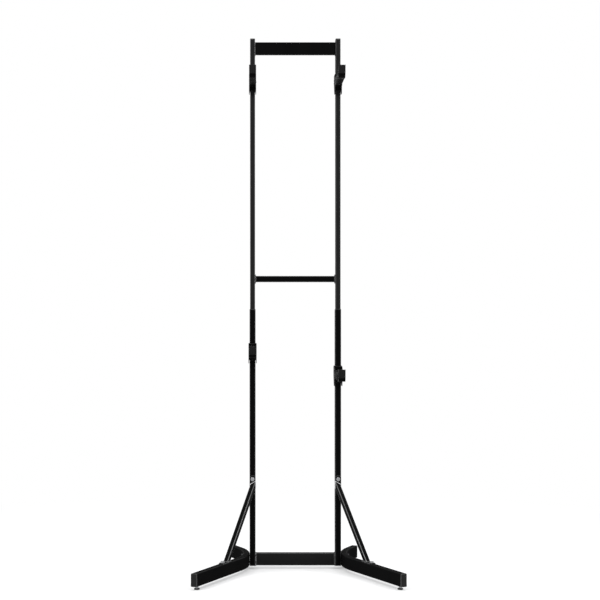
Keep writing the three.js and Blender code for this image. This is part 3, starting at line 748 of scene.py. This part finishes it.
def hexagon_bolt(node, direction):
    low, high = corners_of(node)
    facing = -Vector(direction)
    length = abs((high - low).dot(facing))
    above = HEAD_HEIGHT + WASHER_HEIGHT
    seat = (low + high) / 2 + facing * (length / 2 - above)
    washer = turned("washer", [(0.0, 0.0), (WASHER_RADIUS - WASHER_RIM, 0.0),
                               (WASHER_RADIUS, WASHER_RIM),
                               (WASHER_RADIUS, WASHER_HEIGHT - WASHER_RIM),
                               (WASHER_RADIUS - WASHER_RIM, WASHER_HEIGHT), (0.0, WASHER_HEIGHT)])
    head = hexagon_head("head", WASHER_HEIGHT, above, HEAD_FLATS)
    thread = thread_outline(SHANK_RADIUS, above - length, SHANK_OVERLAP, THREAD_PITCH)
    mesh = joined(node + "_forged", [washer, head, turned("shank", thread, steps=24)])
    mesh.transform(along(seat, facing))
    add_piece(mesh, node, sharp_angle=28.0)


sides = {"left": -1, "right": 1}
bolt_directions = {f"strut_top_bolt_{label}": (0, 1, 0) for label in sides}
bolt_directions |= {f"strut_foot_bolt_{label}": (0, 0, -1) for label in sides}
bolt_directions |= {f"base_bolt_{level}_{label}": (-side, 0, 0)
                    for level in ("lower", "upper") for label, side in sides.items()}
for name, direction in bolt_directions.items():
    hexagon_bolt(name, direction)
print("forged", len(bolt_directions), "bolts")

# %% [markdown]
# ## Button heads
# A button head is a low dome with a hexagon socket. The dome is a turned arc. The socket could be
# a boolean cut, but it is simpler to turn a round hole and then move its points out to the flats
# of a hexagon.

# %% Button heads
BUTTON_RADIUS = 4.5 * MM
BUTTON_HEIGHT = 2.8 * MM
BUTTON_RIM = 0.2 * MM
BUTTON_CROWN = 1.9 * MM
BUTTON_WALL_SHARE = 0.28
SOCKET_FLATS = 3.0 * MM
SOCKET_DEPTH = 1.7 * MM
SOCKET_LIP = 0.15 * MM
SOCKET_POINT = 0.3 * MM
NEAR = 0.01 * MM
SOCKET_RADIUS = SOCKET_FLATS / math.sqrt(3)


def quarter_angles(steps, first=0):
    return [math.pi / 2 * step / steps for step in range(first, steps + 1)]


def button_head():
    floor = BUTTON_HEIGHT - SOCKET_DEPTH
    outline = [(0.0, 0.0), (BUTTON_RADIUS - BUTTON_RIM, 0.0)]
    outline += [(BUTTON_CROWN + (BUTTON_RADIUS - BUTTON_CROWN) * math.cos(a),
                 BUTTON_HEIGHT * (BUTTON_WALL_SHARE + (1 - BUTTON_WALL_SHARE) * math.sin(a)))
                for a in quarter_angles(8)]
    outline += [(SOCKET_RADIUS, BUTTON_HEIGHT - SOCKET_LIP), (SOCKET_RADIUS, floor),
                (0.0, floor - SOCKET_POINT)]
    head = turned("button", outline)
    for vert in head.vertices:
        reach = math.hypot(vert.co.x, vert.co.y)
        if abs(reach - SOCKET_RADIUS) < NEAR:
            wanted = hexagon_radius(math.atan2(vert.co.y, vert.co.x), SOCKET_FLATS)
            vert.co.x *= wanted / reach
            vert.co.y *= wanted / reach
    return head


print("button heads ready")

# %% [markdown]
# ## Button screws
# Small blackened screws hold the panel, the middle bar and the post joints. At the panel and the
# bar they are driven outwards into the posts, and at the joints from behind. One screw could be
# copied about, but their lengths differ, so each is made to the length of its solid.

# %% Button screws
BUTTON_SHANK = 2.5 * MM
BUTTON_OVERLAP = 0.3 * MM
BUTTON_PITCH = 0.8 * MM


def button_screw(node, direction):
    low, high = corners_of(node)
    facing = -Vector(direction)
    length = abs((high - low).dot(facing))
    seat = (low + high) / 2 + facing * (length / 2 - BUTTON_HEIGHT)
    thread = thread_outline(BUTTON_SHANK, BUTTON_HEIGHT - length, BUTTON_OVERLAP, BUTTON_PITCH)
    mesh = joined(node + "_turned", [button_head(), turned("shank", thread, steps=20)])
    mesh.transform(along(seat, facing))
    add_piece(mesh, node, sharp_angle=35.0)


screws = [name for name in nodes
          if name.startswith(("panel_screw", "crossbar_screw", "post_joint_screw"))]
for name in screws:
    outward = 1 if name.endswith("right") else -1
    button_screw(name, (0, -1, 0) if name.startswith("post_joint") else (outward, 0, 0))
print("turned", len(screws), "button screws")

# %% [markdown]
# ## Levelling feet
# The pad is a moulded disc with a rounded rim, and a hexagon collar above it takes a spanner. The
# threaded stud goes up into the foot, so only a glint of thread shows in the gap. One mesh with
# two materials would do, but pad and steel are two pieces, so that each has its own finish and can
# be changed alone. Both ride on the same body.

# %% Levelling feet
PAD_HEIGHT = 5.0 * MM
PAD_RIM = 1.2 * MM
COLLAR_TOP = 12.7 * MM
COLLAR_FLATS = 11.0 * MM


def pad_outline(radius):
    lower = [(radius - PAD_RIM * (1 - math.sin(a)), PAD_RIM * (1 - math.cos(a)))
             for a in quarter_angles(5, first=1)]
    upper = [(radius - PAD_RIM * (1 - math.cos(a)), PAD_HEIGHT - PAD_RIM * (1 - math.sin(a)))
             for a in quarter_angles(5)]
    return [(0.0, 0.0), (radius - PAD_RIM, 0.0)] + lower + upper + [(0.0, PAD_HEIGHT)]


def levelling_foot(node):
    low, high = corners_of(node)
    middle = (low + high) / 2
    radius = min(high.x - low.x, high.y - low.y) / 2
    pad = turned(node + "_pad", pad_outline(radius), steps=64)
    collar = hexagon_head("collar", PAD_HEIGHT, COLLAR_TOP, COLLAR_FLATS)
    thread = thread_outline(SHANK_RADIUS, COLLAR_TOP - SHANK_OVERLAP, high.z, THREAD_PITCH)
    steel = joined(node + "_turned", [collar, turned("stud", thread, steps=32)])
    for mesh in (steel, pad):
        mesh.transform(Matrix.Translation((middle.x, middle.y, 0.0)))
    add_piece(steel, node, sharp_angle=28.0)
    add_piece(pad, node, sharp_angle=28.0, slot="cap_plastic", stands_for_node=False)


levellers = [name for name in nodes if name.startswith("leveller")]
for name in levellers:
    levelling_foot(name)
print("turned", len(levellers), "levelling feet")

# %% [markdown]
# ## The grip of a clamp knob
# A five-lobed knob gives the fingers something to turn. Five cylinders joined by a boolean would
# leave creases between the lobes. A circle whose radius swells five times a turn is smooth
# everywhere, and the same outline is stacked at several heights, with a rounded rim below and
# above and a shallow dish on top.

# %% Knob grip
LOBES = 5
LOBE_DEPTH = 3.0 * MM
KNOB_RADIUS = 16.0 * MM
KNOB_RIM = 2.2 * MM
KNOB_STEPS = 120
HOLLOW_INSET = 1.5 * MM
HOLLOW_EDGE = 0.4 * MM
HOLLOW_DEPTH = 1.6 * MM
HOLLOW_SHARE = 0.8


def knob_ring(work, height, inset, share=1.0):
    ring = []
    for angle in round_angles(KNOB_STEPS):
        swell = LOBE_DEPTH * (1 - math.cos(LOBES * angle)) / 2
        radius = (KNOB_RADIUS - swell - inset) * share
        ring.append(work.verts.new((radius * math.cos(angle), radius * math.sin(angle), height)))
    return ring


def knob_grip(bottom, top):
    rim = [(KNOB_RIM * (1 - math.cos(a)), KNOB_RIM * (1 - math.sin(a))) for a in quarter_angles(5)]
    work = bmesh.new()
    rings = [knob_ring(work, bottom + inward, inset) for inward, inset in rim]
    rings += [knob_ring(work, top - inset, inward) for inward, inset in rim]
    rings.append(knob_ring(work, top - HOLLOW_EDGE, KNOB_RIM + HOLLOW_INSET))
    rings.append(knob_ring(work, top - HOLLOW_DEPTH, KNOB_RIM + HOLLOW_INSET, HOLLOW_SHARE))
    stack(work, rings)
    return mesh_from(work, "grip")


print("knob grip ready")

# %% [markdown]
# ## Clamp knobs
# Each arm is clamped by a screw that presses on the back of its post. The grip, its hub and the
# cap over the screw are plastic and make one piece, and the steel screw is another. They could be
# one mesh with two materials, but two pieces are easier to change. Both turn with the knob's own
# body.

# %% Clamp knobs
KNOB_HEIGHT = 14.0 * MM
HUB_RADIUS = 8.0 * MM
HUB_LENGTH = 5.0 * MM
HUB_RIM = 0.6 * MM
HUB_OVERLAP = 1.0 * MM
COVER_CAP = ((0.0, -2.0 * MM), (5.0 * MM, -2.0 * MM), (5.0 * MM, -0.9 * MM), (4.2 * MM, -0.4 * MM),
             (0.0, -0.3 * MM))
SCREW_BELOW_ARM_TOP = 21.0 * MM


def clamp_knob(node):
    low, high = corners_of(node)
    arm_low, arm_high = corners_of(node.replace("clamp_knob", "arm"))
    top = high.y - low.y
    bottom = top - KNOB_HEIGHT
    hub_start = bottom - HUB_LENGTH
    hub = turned("hub", [(0.0, hub_start), (HUB_RADIUS - HUB_RIM, hub_start),
                         (HUB_RADIUS, hub_start + HUB_RIM), (HUB_RADIUS, bottom + HUB_OVERLAP),
                         (0.0, bottom + HUB_OVERLAP)])
    cap = turned("cap", [(radius, top + height) for radius, height in COVER_CAP])
    grip = joined(node + "_grip", [knob_grip(bottom, top), hub, cap])
    thread = thread_outline(SHANK_RADIUS, 0.0, hub_start + SHANK_OVERLAP, THREAD_PITCH)
    screw = turned(node + "_screw", thread, steps=32)
    centre = ((arm_low.x + arm_high.x) / 2, low.y, arm_high.z - SCREW_BELOW_ARM_TOP)
    for mesh in (grip, screw):
        mesh.transform(along(centre, (0, 1, 0)))
    add_piece(grip, node, sharp_angle=32.0, slot="knob_plastic")
    add_piece(screw, node, sharp_angle=32.0, slot="zinc_steel", stands_for_node=False)


knobs = [name for name in nodes if name.startswith("clamp_knob")]
for name in knobs:
    clamp_knob(name)
print("moulded", len(knobs), "clamp knobs")

# %% [markdown]
# ## Rounded corners in an outline
# Rubber covers line the cradles, and moulded rubber has no sharp corners. A bevel on the finished
# mesh would pinch the cover's hollow corners. So the rounding is done in the flat outline: at each
# corner a small arc is put in that touches both sides.

# %% Rounded outline
def rounded(corners, steps=6):
    points = []
    for index, (x, y, radius) in enumerate(corners):
        point = Vector((x, y))
        if radius == 0:
            points.append(point)
            continue
        before = (Vector(corners[index - 1][:2]) - point).normalized()
        after = (Vector(corners[(index + 1) % len(corners)][:2]) - point).normalized()
        half = before.angle(after) / 2
        centre = point + (before + after).normalized() * (radius / math.sin(half))
        first = point + before * (radius / math.tan(half)) - centre
        last = point + after * (radius / math.tan(half)) - centre
        sweep = first.angle(last)
        for share in (step / steps for step in range(steps + 1)):
            mixed = first * math.sin((1 - share) * sweep) + last * math.sin(share * sweep)
            points.append(centre + mixed / math.sin(sweep))
    return points


print("rounded outlines ready")

# %% [markdown]
# ## The section of a cradle cover
# A cover is a U that lies in the cradle and hooks over both its ends. The solid has the same form
# with straight facets and could be softened like the tubes, but its ribs would stay angular. So
# the section is drawn afresh from the cradle's sizes, for any thickness of rubber: x is the reach
# forward from the cradle's middle, and y the height above the arm's lowest edge.

# %% Cover section
SEAT_GAP = 0.3 * MM
CRADLE_INSIDE = 26.4 * MM
CRADLE_OUTSIDE = 30.4 * MM
CRADLE_FLOOR = 34.0 * MM
CRADLE_FRONT_TOP = 74.0 * MM
CRADLE_REAR_TOP = 69.0 * MM
CRADLE_ROUND = 11.0 * MM
FRONT_FLAP = 30.0 * MM
REAR_FLAP = 6.0 * MM
LIP_ROUND = 1.4 * MM
FLAP_ROUND = 0.9 * MM


def cover_section(thickness):
    hidden = CRADLE_INSIDE - SEAT_GAP
    shown = hidden - thickness
    outside = CRADLE_OUTSIDE + SEAT_GAP
    skin = outside + thickness
    floor = CRADLE_FLOOR + SEAT_GAP
    hidden_round = CRADLE_ROUND - SEAT_GAP
    front_top, rear_top = CRADLE_FRONT_TOP + SEAT_GAP, CRADLE_REAR_TOP + SEAT_GAP
    front_end, rear_end = CRADLE_FRONT_TOP - FRONT_FLAP, CRADLE_REAR_TOP - REAR_FLAP
    seen = [
        (skin, front_end, FLAP_ROUND),
        (skin, front_top + thickness, LIP_ROUND),
        (shown, front_top + thickness, LIP_ROUND),
        (shown, floor + thickness, hidden_round - thickness),
        (-shown, floor + thickness, hidden_round - thickness),
        (-shown, rear_top + thickness, LIP_ROUND),
        (-skin, rear_top + thickness, LIP_ROUND),
        (-skin, rear_end, FLAP_ROUND),
    ]
    against_cradle = [
        (-outside, rear_end, 0), (-outside, rear_top, 0), (-hidden, rear_top, 0),
        (-hidden, floor, hidden_round), (hidden, floor, hidden_round),
        (hidden, front_top, 0), (outside, front_top, 0), (outside, front_end, 0),
    ]
    return rounded(seen + against_cradle)


COVER_SKIN = 2.2 * MM
print("the section has", len(cover_section(COVER_SKIN)), "points")

# %% [markdown]
# ## Ribs across the cover
# The cover is thin between its ribs and thick on them. Ribs could be separate strips, but moulded
# rubber is one skin. So the ribs are a list of stations across the width, each with the thickness
# there: a rib climbs by a short wall and a quarter circle and comes down the same way.

# %% Rib stations
RIBS = 4
RIB_HEIGHT = 0.9 * MM
RIB_WIDTH = 4.4 * MM
RIB_ROUND = 0.6 * MM
CRADLE_WIDTH = 27.0 * MM


def cover_stations():
    shoulder = COVER_SKIN + RIB_HEIGHT - RIB_ROUND
    climb = [(0.0, COVER_SKIN), (0.0, shoulder)]
    climb += [(RIB_ROUND * (1 - math.cos(a)), shoulder + RIB_ROUND * math.sin(a))
              for a in quarter_angles(4, first=1)]
    pitch = (CRADLE_WIDTH - RIB_WIDTH) / (RIBS - 1)
    stations = []
    for start in (index * pitch - CRADLE_WIDTH / 2 for index in range(RIBS)):
        stations += [(start + x, thickness) for x, thickness in climb]
        stations += [(start + RIB_WIDTH - x, thickness) for x, thickness in reversed(climb)]
    return stations[1:-1]


print("the ribs have", len(cover_stations()), "stations")

# %% [markdown]
# ## Cradle covers
# The section is drawn at each station with the thickness it has there, and neighbouring sections
# are joined by faces. That is lofting. Sweeping one section and raising the ribs by a texture
# would be quicker, but a raised pattern in a material leaves the outline smooth, and here the ribs
# show on the outline.

# %% Cradle covers
CRADLE_REACH = 230.0 * MM


def post_of(node):
    return ("upper" if "upper" in node else "lower") + "_post_" + node.rsplit("_", 1)[1]


def cradle_cover(node):
    low, high = corners_of(node)
    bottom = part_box(node.replace("cradle_cover", "arm"))[0][2]
    middle_x, middle_y = (low.x + high.x) / 2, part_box(post_of(node))[0][1] - CRADLE_REACH
    work = bmesh.new()
    rings = [[work.verts.new((middle_x + x, middle_y - reach, bottom + height))
              for reach, height in cover_section(thickness)] for x, thickness in cover_stations()]
    stack(work, rings)
    bmesh.ops.recalc_face_normals(work, faces=work.faces)
    add_piece(mesh_from(work, node + "_moulded"), node, sharp_angle=42.0)


covers = [name for name in nodes if name.startswith("cradle_cover")]
for name in covers:
    cradle_cover(name)
print("moulded", len(covers), "rubber covers")

# %% [markdown]
# ## The path of a weld bead
# Where tube meets plate the maker runs a bead of weld round the joint, and the powder coat covers
# it. A curve with a round bevel would be quick, but its radius could not pulse with the torch. So
# the joint is first walked in small steps, a quarter of a pulse each, round a closed loop or along
# an open line.

# %% Bead path
BEAD_PULSE = 2.2 * MM
STEPS_IN_PULSE = 4


def bead_path(corners, closed):
    ends = corners[1:] + corners[:1] if closed else corners[1:]
    points = []
    for start, end in zip(corners, ends):
        start, end = Vector(start), Vector(end)
        count = max(2, round((end - start).length / (BEAD_PULSE / STEPS_IN_PULSE)))
        points += [start.lerp(end, step / count) for step in range(count)]
    return points if closed else points + [Vector(corners[-1])]


print("bead paths ready")

# %% [markdown]
# ## Sweeping a weld bead
# A small ring is then set at every step, square to the path, and its radius swells with the
# pulses. Each ring may start at another angle than the last, so the nearest points are looked for
# before the faces are made, and the bead isn't twisted. The number called corner tells the coat
# how much the bead shines, and lightens its colour by as much: a painted highlight.

# %% Weld beads
BEAD_RADIUS = 1.3 * MM
BEAD_SIDES = 10
BEAD_SWELL = 0.18


def bead_rings(work, points, closed, bead):
    rings = []
    travelled = 0.0
    for index, point in enumerate(points):
        before = points[index - 1] if closed or index else point
        after = points[(index + 1) % len(points)] if closed or index + 1 < len(points) else point
        travelled += (point - before).length
        tangent = (after - before).normalized()
        side = tangent.orthogonal().normalized()
        other = tangent.cross(side)
        pulse = abs(math.sin(math.pi * travelled / BEAD_PULSE))
        radius = bead * (1 - BEAD_SWELL + BEAD_SWELL * pulse)
        rings.append([work.verts.new(point + (side * math.cos(a) + other * math.sin(a)) * radius)
                      for a in round_angles(BEAD_SIDES)])
    return rings


def join_nearest(work, first, second):
    offset = min(range(BEAD_SIDES), key=lambda k: (first[0].co - second[k].co).length)
    for step in range(BEAD_SIDES):
        after = (step + 1) % BEAD_SIDES
        work.faces.new((first[step], first[after], second[(after + offset) % BEAD_SIDES],
                        second[(step + offset) % BEAD_SIDES]))


def weld_bead(name, corners, node, closed=True, bead=BEAD_RADIUS, shine=0.3, finish="black_tube"):
    work = bmesh.new()
    rings = bead_rings(work, bead_path(corners, closed), closed, bead)
    for first, second in zip(rings, rings[1:] + rings[:1] if closed else rings[1:]):
        join_nearest(work, first, second)
    if not closed:
        work.faces.new(rings[0][::-1])
        work.faces.new(rings[-1])
    bmesh.ops.recalc_face_normals(work, faces=work.faces)
    # corner: coat shine and a painted highlight on the bead.
    layer = work.faces.layers.float.new("corner")
    for face in work.faces:
        face[layer] = shine
    add_piece(mesh_from(work, name), node, sharp_angle=60.0, finish=finish,
              stands_for_node=False)


print("weld beads ready")

# %% [markdown]
# ## Beads on the crossbars
# Each crossbar is a tube between two end plates. On the middle bar the bead goes all the way
# round. The same could be drawn on the base bar, but that tube fills its plates in height, so it
# is welded only down the front and the back.

# %% Beads on the crossbars
BAR_PLATE = 3.0 * MM
BASE_BAR_DEPTH = 25.0 * MM
MIDDLE_BAR_DEPTH = 16.0 * MM
MIDDLE_BAR_HEIGHT = 25.0 * MM
BEAD_END = 2.0 * MM
SQUARE = ((-1, -1), (1, -1), (1, 1), (-1, 1))

low, high = corners_of("base_crossbar")
centre_y = (low.y + high.y) / 2
for label, side in sides.items():
    for face, facing in (("front", -1), ("rear", 1)):
        x, y = side * (high.x - BAR_PLATE), centre_y + facing * BASE_BAR_DEPTH / 2
        weld_bead(f"weld_base_crossbar_{label}_{face}",
                  [(x, y, low.z + BEAD_END), (x, y, high.z - BEAD_END)],
                  "base_crossbar", closed=False)

low, high = corners_of("middle_crossbar")
centre_y, centre_z = (low.y + high.y) / 2, (low.z + high.z) / 2
for label, side in sides.items():
    loop = [(side * (high.x - BAR_PLATE), centre_y + a * MIDDLE_BAR_DEPTH / 2,
             centre_z + b * MIDDLE_BAR_HEIGHT / 2) for a, b in SQUARE]
    weld_bead(f"weld_middle_crossbar_{label}", loop, "middle_crossbar")
print("welded the crossbars")

# %% [markdown]
# ## Beads on the struts
# A strut is square tube cut slanting at both ends. The corners of each cut could be measured in
# the construction, but it is surer to slide the corners of the square along the strut until they
# meet the plate, which is what a cutting plane does. The seam at the top is a thin bright metal
# bead, a painted highlight that stands in for a short white line of light. Both beads take the full
# corner share, so at the foot the coat shines and the colour is lightened as a painted highlight.

# %% Beads on the struts
STRUT_SIZE = 19.0 * MM
STRUT_CORNER = 0.6 * MM
STRUT_BEAD = 1.9 * MM
STRUT_LOW = Vector((272.0 * MM, post_front - 196.0 * MM, 66.3 * MM))
STRUT_HIGH = Vector((170.0 * MM, post_front - 3.3 * MM, 334.0 * MM))
strut_axis = (STRUT_HIGH - STRUT_LOW).normalized()
strut_side = Vector((0, 0, 1)).cross(strut_axis).normalized()
strut_up = strut_axis.cross(strut_side)


def slanting_cut(middle, normal, side):
    corners = []
    for a, b in SQUARE:
        edge = (strut_side * a + strut_up * b) * (STRUT_SIZE / 2 - STRUT_CORNER)
        corner = middle + edge - strut_axis * (edge.dot(normal) / strut_axis.dot(normal))
        corners.append((side * corner.x, corner.y, corner.z))
    return corners


cuts = {"foot": (STRUT_LOW, Vector((0, 0, 1)), "black_tube"),
        "post": (STRUT_HIGH, Vector((0, 1, 0)), "painted_highlight_seam")}
for label, side in sides.items():
    for end, (middle, normal, finish) in cuts.items():
        weld_bead(f"weld_strut_{end}_{label}", slanting_cut(middle, normal, side),
                  f"strut_{label}", bead=STRUT_BEAD, shine=1.0, finish=finish)
print("welded the struts")

# %% [markdown]
# ## Beads on the arms
# An arm is a folded bracket, a tube and a bent cradle strip, joined by four short beads: one down
# each cheek, one where the strip leaves the tube, and one where the tube meets the web. Beads
# could be drawn on one arm and copied, but the upper and lower arms differ in width, so each takes
# its places from its own box. The beads ride with the arm when it slides.

# %% Beads on the arms
ARM_SHEET = 2.5 * MM
ARM_NOSE = 44.0 * MM
BEAM_BOTTOM = 30.0 * MM
BEAM_TOP = 60.0 * MM
CHEEK_END = 4.0 * MM
STRIP_END = 1.5 * MM
WEB_FRONT = 4.3 * MM


def arm_beads(node):
    low, high = corners_of(node)
    centre_x = (low.x + high.x) / 2
    beam_half = (high.x - low.x) / 2 - ARM_SHEET / 2
    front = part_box(post_of(node))[0][1]
    top = low.z + BEAM_TOP
    for side, label in ((-1, "inner"), (1, "outer")):
        x, nose = centre_x + side * beam_half, front - ARM_NOSE
        weld_bead(f"weld_{node}_cheek_{label}", [(x, nose, low.z + BEAM_BOTTOM + BEAD_END),
                                                 (x, nose, top - CHEEK_END)], node, closed=False)
    strip_half = min(beam_half, CRADLE_WIDTH / 2) - STRIP_END
    across = {"cradle": (strip_half, front - CRADLE_REACH + CRADLE_OUTSIDE),
              "web": (beam_half - BEAD_END, front - WEB_FRONT)}
    for label, (half, y) in across.items():
        weld_bead(f"weld_{node}_{label}", [(centre_x - half, y, top), (centre_x + half, y, top)],
                  node, closed=False)


for name in arms:
    arm_beads(name)
print("welded", len(arms), "arms")

# %% [markdown]
# ## White for the eye
# The rack stands before plain white. More light could burn the floor and the world to white, but
# that would wash out the rack too. Instead both ask how a ray has come: straight from the camera,
# or by way of something that mirrors or lets light through. Such rays see white, while the light
# that falls on the rack stays as it is.

# %% Rays that see white
def rays_that_see(tree):
    rays = add(tree, "ShaderNodeLightPath").outputs
    seen = maths(tree, "MAXIMUM", rays["Is Camera Ray"], rays["Is Glossy Ray"])
    return maths(tree, "MAXIMUM", seen, rays["Is Transmission Ray"])


def mix_shader(tree, amount, first, second):
    return add(tree, "ShaderNodeMixShader", {0: amount, 1: first, 2: second}).outputs[0]


print("rays ready")

# %% [markdown]
# ## Floor
# The floor is a plain pale sheet with a faint cloud in its tone. A floor that is white everywhere
# would lose the shadow, and the rack would seem to float. So near the rack the sheet keeps its
# colour and the shadow, and it turns to white over two metres.

# %% Floor
HALF_FLOOR = 7.0
FLOOR_TONE = 0.9
FLOOR_CLOUD_SCALE = 3.0
FLOOR_CLOUD_SHARE = 0.985
FLOOR_ROUGHNESS = (0.7, 0.8)
WHITE_AT_RACK = 0.35
WHITE_FROM = 0.5
WHITE_FULL = 2.4

floor_paint, tree, shader = new_material("pale_floor")
place = surface_place(tree)
fine = noise(tree, place, FLOOR_CLOUD_SCALE, detail=4.0)
feed(tree, shader, {
    "Base Color": mix_colour(tree, fine, grey(FLOOR_TONE * FLOOR_CLOUD_SHARE), grey(FLOOR_TONE)),
    "Roughness": remap(tree, fine, 0.3, 0.7, *FLOOR_ROUGHNESS),
    "Specular IOR Level": 0.15,
})
glow = add(tree, "ShaderNodeEmission", {"Color": grey(1.0), "Strength": 1.0}).outputs[0]
far = add(tree, "ShaderNodeVectorMath", {0: place}, operation="LENGTH").outputs["Value"]
share = remap(tree, far, WHITE_FROM, WHITE_FULL, WHITE_AT_RACK, 1.0)
amount = maths(tree, "MULTIPLY", rays_that_see(tree), share)
feed(tree, tree.nodes["Material Output"],
     {"Surface": mix_shader(tree, amount, shader.outputs[0], glow)})

floor_mesh = bpy.data.meshes.new("floor")
floor_mesh.from_pydata([(a * HALF_FLOOR, b * HALF_FLOOR, 0) for a, b in SQUARE], [], [(0, 1, 2, 3)])
floor_mesh.materials.append(floor_paint)
link_mesh("floor", floor_mesh)
print("laid a floor of", 2 * HALF_FLOOR, "metres")

# %% [markdown]
# ## World
# The world is the light that comes from everywhere. A picture of a studio would light the rack
# more richly, but it would be a file of its own. An even, slightly cool tone fills the shadows,
# and the rays that see white find plain white, so that metal mirrors the same studio.

# %% World
world = bpy.data.worlds.new("studio")
world.use_nodes = True
bpy.context.scene.world = world
tree = world.node_tree
tree.nodes.clear()
seen = rays_that_see(tree)
light = add(tree, "ShaderNodeBackground", {"Color": (0.97, 0.98, 1.0, 1.0), "Strength": 0.6})
white = add(tree, "ShaderNodeBackground", {"Color": grey(1.0), "Strength": 1.0})
studio = mix_shader(tree, seen, light.outputs[0], white.outputs[0])
add(tree, "ShaderNodeOutputWorld", {"Surface": studio})
print("set the world", world.name)

# %% [markdown]
# ## Lamps
# The picture has even studio light. A sun would draw hard shadows, so four area lamps stand for
# soft boxes: two in front and above, one straight above, and one behind that draws a thin line of
# light along the edges. Each is a place, an aim, a size in metres and a power in watts.

# %% Lamps
RACK_MIDDLE = (0.0, 0.0, 0.8)
BELOW_TOP_LAMP = (0.0, 0.1, 0.0)
lamps = {
    "key": ((-2.7, -1.7, 3.6), RACK_MIDDLE, (1.5, 1.5), 85.0),
    "fill": ((2.7, -1.7, 3.6), RACK_MIDDLE, (1.5, 1.5), 65.0),
    "top": ((0.0, 0.1, 4.8), BELOW_TOP_LAMP, (2.6, 1.6), 70.0),
    "rear": ((1.2, 3.4, 2.6), RACK_MIDDLE, (2.4, 2.4), 45.0),
}
for name, (place, aim, size, power) in lamps.items():
    data = bpy.data.lights.new(name, "AREA")
    data.shape = "RECTANGLE"
    data.size, data.size_y = size
    data.energy = power
    lamp = bpy.data.objects.new(name, data)
    lamp.location = place
    lamp.rotation_euler = (Vector(aim) - Vector(place)).to_track_quat("-Z", "Y").to_euler()
    bpy.context.scene.collection.objects.link(lamp)
print("hung", len(lamps), "soft lamps")
